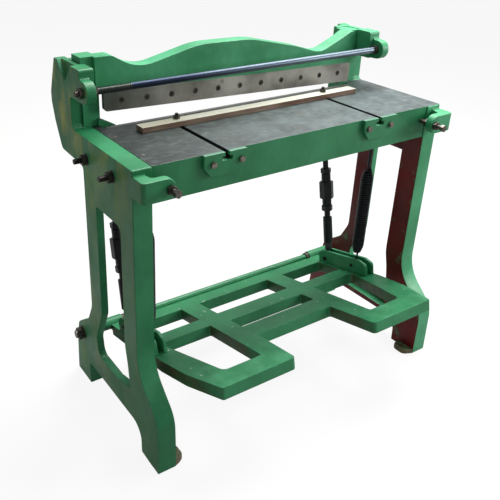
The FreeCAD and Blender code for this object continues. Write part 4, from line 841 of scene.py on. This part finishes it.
def tie_rod_half(side):
    """Half of the blued rod, stepped down to a thread at its end. The left half has a long thread before the
    ear."""
    pieces = [bar(8, TIE_END, 1.2), thread(8, 1.75, TIE_SHOULDER - 3, TIE_END - TIE_SHOULDER + 3)]
    if side > 0:
        pieces.append(bar(10, TIE_SHOULDER, 1.5))
    else:
        long_thread = thread(10, 2.5, TIE_THREAD_FROM, TIE_SHOULDER - TIE_THREAD_FROM)
        pieces += [bar(10, TIE_THREAD_FROM + 2, 0.8), bar(9.1, TIE_SHOULDER, 1.0), long_thread]
    return placed(joined("tie_rod_half", *pieces), [(at(0, TIE_Y, TIE_Z), OUTWARD[side])], "tie_rod_placed")


tie_rod = joined("tie_rod_turned", tie_rod_half(1), tie_rod_half(-1))
dress(tie_rod, "machine", "bright_steel", blued_steel, "tie_rod")

for side, hand in SIDES:
    screw = joined("screw", bar(7, 81.7, 0.8), thread(7, 2, 0, 76))
    shank = placed(screw, [(at(side * ADJUSTER_X, ADJUSTER_SHANK_Y, ADJUSTER_Z), REARWARD)], "shank")
    head_place = [(at(side * ADJUSTER_X, ADJUSTER_HEAD_Y, ADJUSTER_Z), FORWARD)]
    adjuster = joined(hand + "_adjuster", placed(hexagon(19, 12, False), head_place, "head"), shank)
    dress(adjuster, hand + "_screw", "bolt_steel", screw_steel, hand + "_adjusting_screw")

# Links: built up along Z with the lower pin at the origin, then leaned to their place

LINK_FOOT = (436.0, 282.06, 222.97)
LINK_LEAN = math.radians(11.2644)
LINK_AXIS = (0, math.sin(LINK_LEAN), math.cos(LINK_LEAN))
LOW_LOCK_UP, SLEEVE_UP, HIGH_LOCK_UP = 190.7, 214.0, 337.3
GRIP_UP = 25.0


def link_place(side, up_mm):
    """Place on a link, this far up from its lower pin."""
    foot = at(side * LINK_FOOT[0], LINK_FOOT[1], LINK_FOOT[2]) + Vector(LINK_AXIS) * up_mm * MM
    return [(foot, LINK_AXIS)]


def turnbuckle_sleeve():
    """Round sleeve with a hexagonal grip and chamfered mouths."""
    grip = placed(hexagon(46, 68), [(Vector((0, 0, GRIP_UP * MM)), UPWARD)], "grip")
    return joined("sleeve", bar(17, 123, 2.0, 40), grip)


for side, hand in SIDES:
    sleeve = placed(turnbuckle_sleeve(), link_place(side, SLEEVE_UP), hand + "_sleeve_turned")
    dress(sleeve, hand + "_sleeve", "link_black", link_enamel, hand + "_turnbuckle")
    low = placed(hexagon(36, 23), link_place(side, LOW_LOCK_UP), "low")
    high = placed(hexagon(34, 20), link_place(side, HIGH_LOCK_UP), "high")
    dress(joined(hand + "_locks", low, high), hand + "_link", "link_black", link_enamel, hand + "_link_locknuts")
    for node in (hand + "_upper_link_rod", hand + "_lower_link_rod"):
        dress(softened(node, 1.2), hand + "_link", "link_black", link_enamel, node)

# Return springs: one round wire wound close, drawn in at both ends to a straight tail

WIRE = 7.2
TURNS = 40
CONE_TURNS = 5
POINTS_PER_TURN = 20
COIL_R = 22.0 - WIRE / 2
TIP_R = 9.0
TAIL = 20
TAIL_LOW, TAIL_TOP = 276.67, ANCHOR_FOOT_Z
COIL_LOW, COIL_TOP = TAIL_LOW + TAIL + 2 * WIRE, TAIL_TOP - 2 * WIRE
# The turns between these heights open as the treadle goes down. Over a longer stretch the spring would bow.
HOOK_PIN_Z, OPENING_TOP = 261.7, 431.7


def spring_line():
    """Middle line of the wire, in millimetres from the spring's axis."""
    line = [(0, 0, TAIL_LOW), (0, 0, TAIL_LOW + TAIL)]
    for i in range(TURNS * POINTS_PER_TURN + 1):
        turn = i / POINTS_PER_TURN
        cone = min(1, min(turn, TURNS - turn) / CONE_TURNS)
        radius = TIP_R + (COIL_R - TIP_R) * math.sin(cone * math.pi / 2)
        angle = 2 * math.pi * turn
        height = COIL_LOW + (COIL_TOP - COIL_LOW) * turn / TURNS
        line.append((radius * math.cos(angle), radius * math.sin(angle), height))
    return line + [(0, 0, TAIL_TOP - WIRE / 2), (0, 0, TAIL_TOP)]


def spring(side, hand):
    line = spring_line()
    deselect()
    bpy.ops.curve.primitive_nurbs_path_add(location=at(side * SPRING_X, SPRING_Y, 0))
    wire = bpy.context.object
    wire.data.splines.clear()
    path = wire.data.splines.new("NURBS")
    path.points.add(len(line) - 1)
    for point, place in zip(path.points, line):
        point.co = (place[0] * MM, place[1] * MM, place[2] * MM, 1)
    path.order_u = 3
    path.use_endpoint_u = True
    path.resolution_u = 1
    wire.data.bevel_depth = WIRE / 2 * MM
    wire.data.bevel_resolution = 3
    wire.data.use_fill_caps = True
    only(wire)
    bpy.ops.object.convert(target="MESH")
    piece = smooth(settle(named(hand + "_spring_wire")), 60)
    piece.data.materials.clear()
    piece.data.materials.append(spring_enamel)
    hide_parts(hand + "_return_spring")
    start, end = (at(side * SPRING_X, SPRING_Y, z) for z in (OPENING_TOP, HOOK_PIN_Z))
    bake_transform(piece, "machine", "treadle", start=start, end=end)


for side, hand in SIDES:
    spring(side, hand)

# Nodes whose own shape stays, with their finishes

KEPT = {
    "lower_blade_bolts": nut_steel,
    "upper_blade_bolts": nut_steel,
    "bed_top_screws": hexagon_steel,
    "shaft_collars": nut_steel,
    "gauge_t_bolts": stud_steel,
    "upper_link_pins": stud_steel,
    "lower_link_pins": stud_steel,
    "spring_pins": stud_steel,
    "spring_eyes": link_enamel,
}
for name, material in KEPT.items():
    for kept_slot in frame["nodes"][name].material_slots:
        kept_slot.material = material

# Floor, world and lamps


def seen_directly(tree, rays):
    """Mask of what the camera sees, straight or through a clear material."""
    return add(tree, "Math", MAXIMUM, {0: rays["Is Camera Ray"], 1: rays["Is Transmission Ray"]})


def pale_floor():
    """Matt floor that shows white to the camera, paler grey in reflections, and keeps the shadow."""
    material, tree = empty_material("pale_floor")
    rays = tree.nodes.new("ShaderNodeLightPath").outputs
    seen = seen_directly(tree, rays)
    direct = all_of(tree, seen, 0.90)
    mirrored = all_of(tree, rays["Is Glossy Ray"], 0.35)
    share = add(tree, "Math", MAXIMUM, {0: direct, 1: mirrored})
    matt = add(tree, "BsdfDiffuse", links={"Color": layer(tree, "#9C9C9A", "#FAFAF8", seen)})
    white = add(tree, "Emission", links={"Color": (1, 1, 1, 1), "Strength": 1.0})
    shader = add(tree, "MixShader", links={0: share, 1: matt, 2: white})
    tree.links.new(shader, tree.nodes.new("ShaderNodeOutputMaterial").inputs["Surface"])
    return material


def white_world():
    """White behind the machine, dimmer as a light and in reflections."""
    world = bpy.data.worlds.new("studio")
    world.use_nodes = True
    tree = world.node_tree
    tree.nodes.clear()
    rays = tree.nodes.new("ShaderNodeLightPath").outputs
    ambient = add(tree, "MapRange", links={"Value": rays["Is Glossy Ray"], "To Min": 0.30, "To Max": 0.55})
    level = add(tree, "Math", MAXIMUM, {0: seen_directly(tree, rays), 1: ambient})
    background = add(tree, "Background", links={"Color": (1, 1, 1, 1), "Strength": level})
    tree.links.new(background, tree.nodes.new("ShaderNodeOutputWorld").inputs["Surface"])
    return world


def lamp(name, place, target, width, power):
    """Soft square lamp that looks at a point."""
    deselect()
    bpy.ops.object.light_add(type="AREA", location=place)
    light = bpy.context.object
    light.name = name
    light.data.size = width
    light.data.energy = power
    light.rotation_euler = (Vector(target) - Vector(place)).to_track_quat("-Z", "Y").to_euler()


deselect()
bpy.ops.mesh.primitive_plane_add(size=60, location=(0, 0, -0.5 * MM))
floor = named("floor")
floor.data.materials.append(pale_floor())

lamp("overhead", (1.1, 0.6, 3.1), (0.1, 0, 0.5), 2.0, 175)
lamp("front_right", (2.2, -1.4, 1.5), (0.2, -0.1, 0.5), 1.0, 38)

scene = bpy.context.scene
scene.world = white_world()
scene.view_settings.view_transform = "Standard"

bpy.context.view_layer.update()
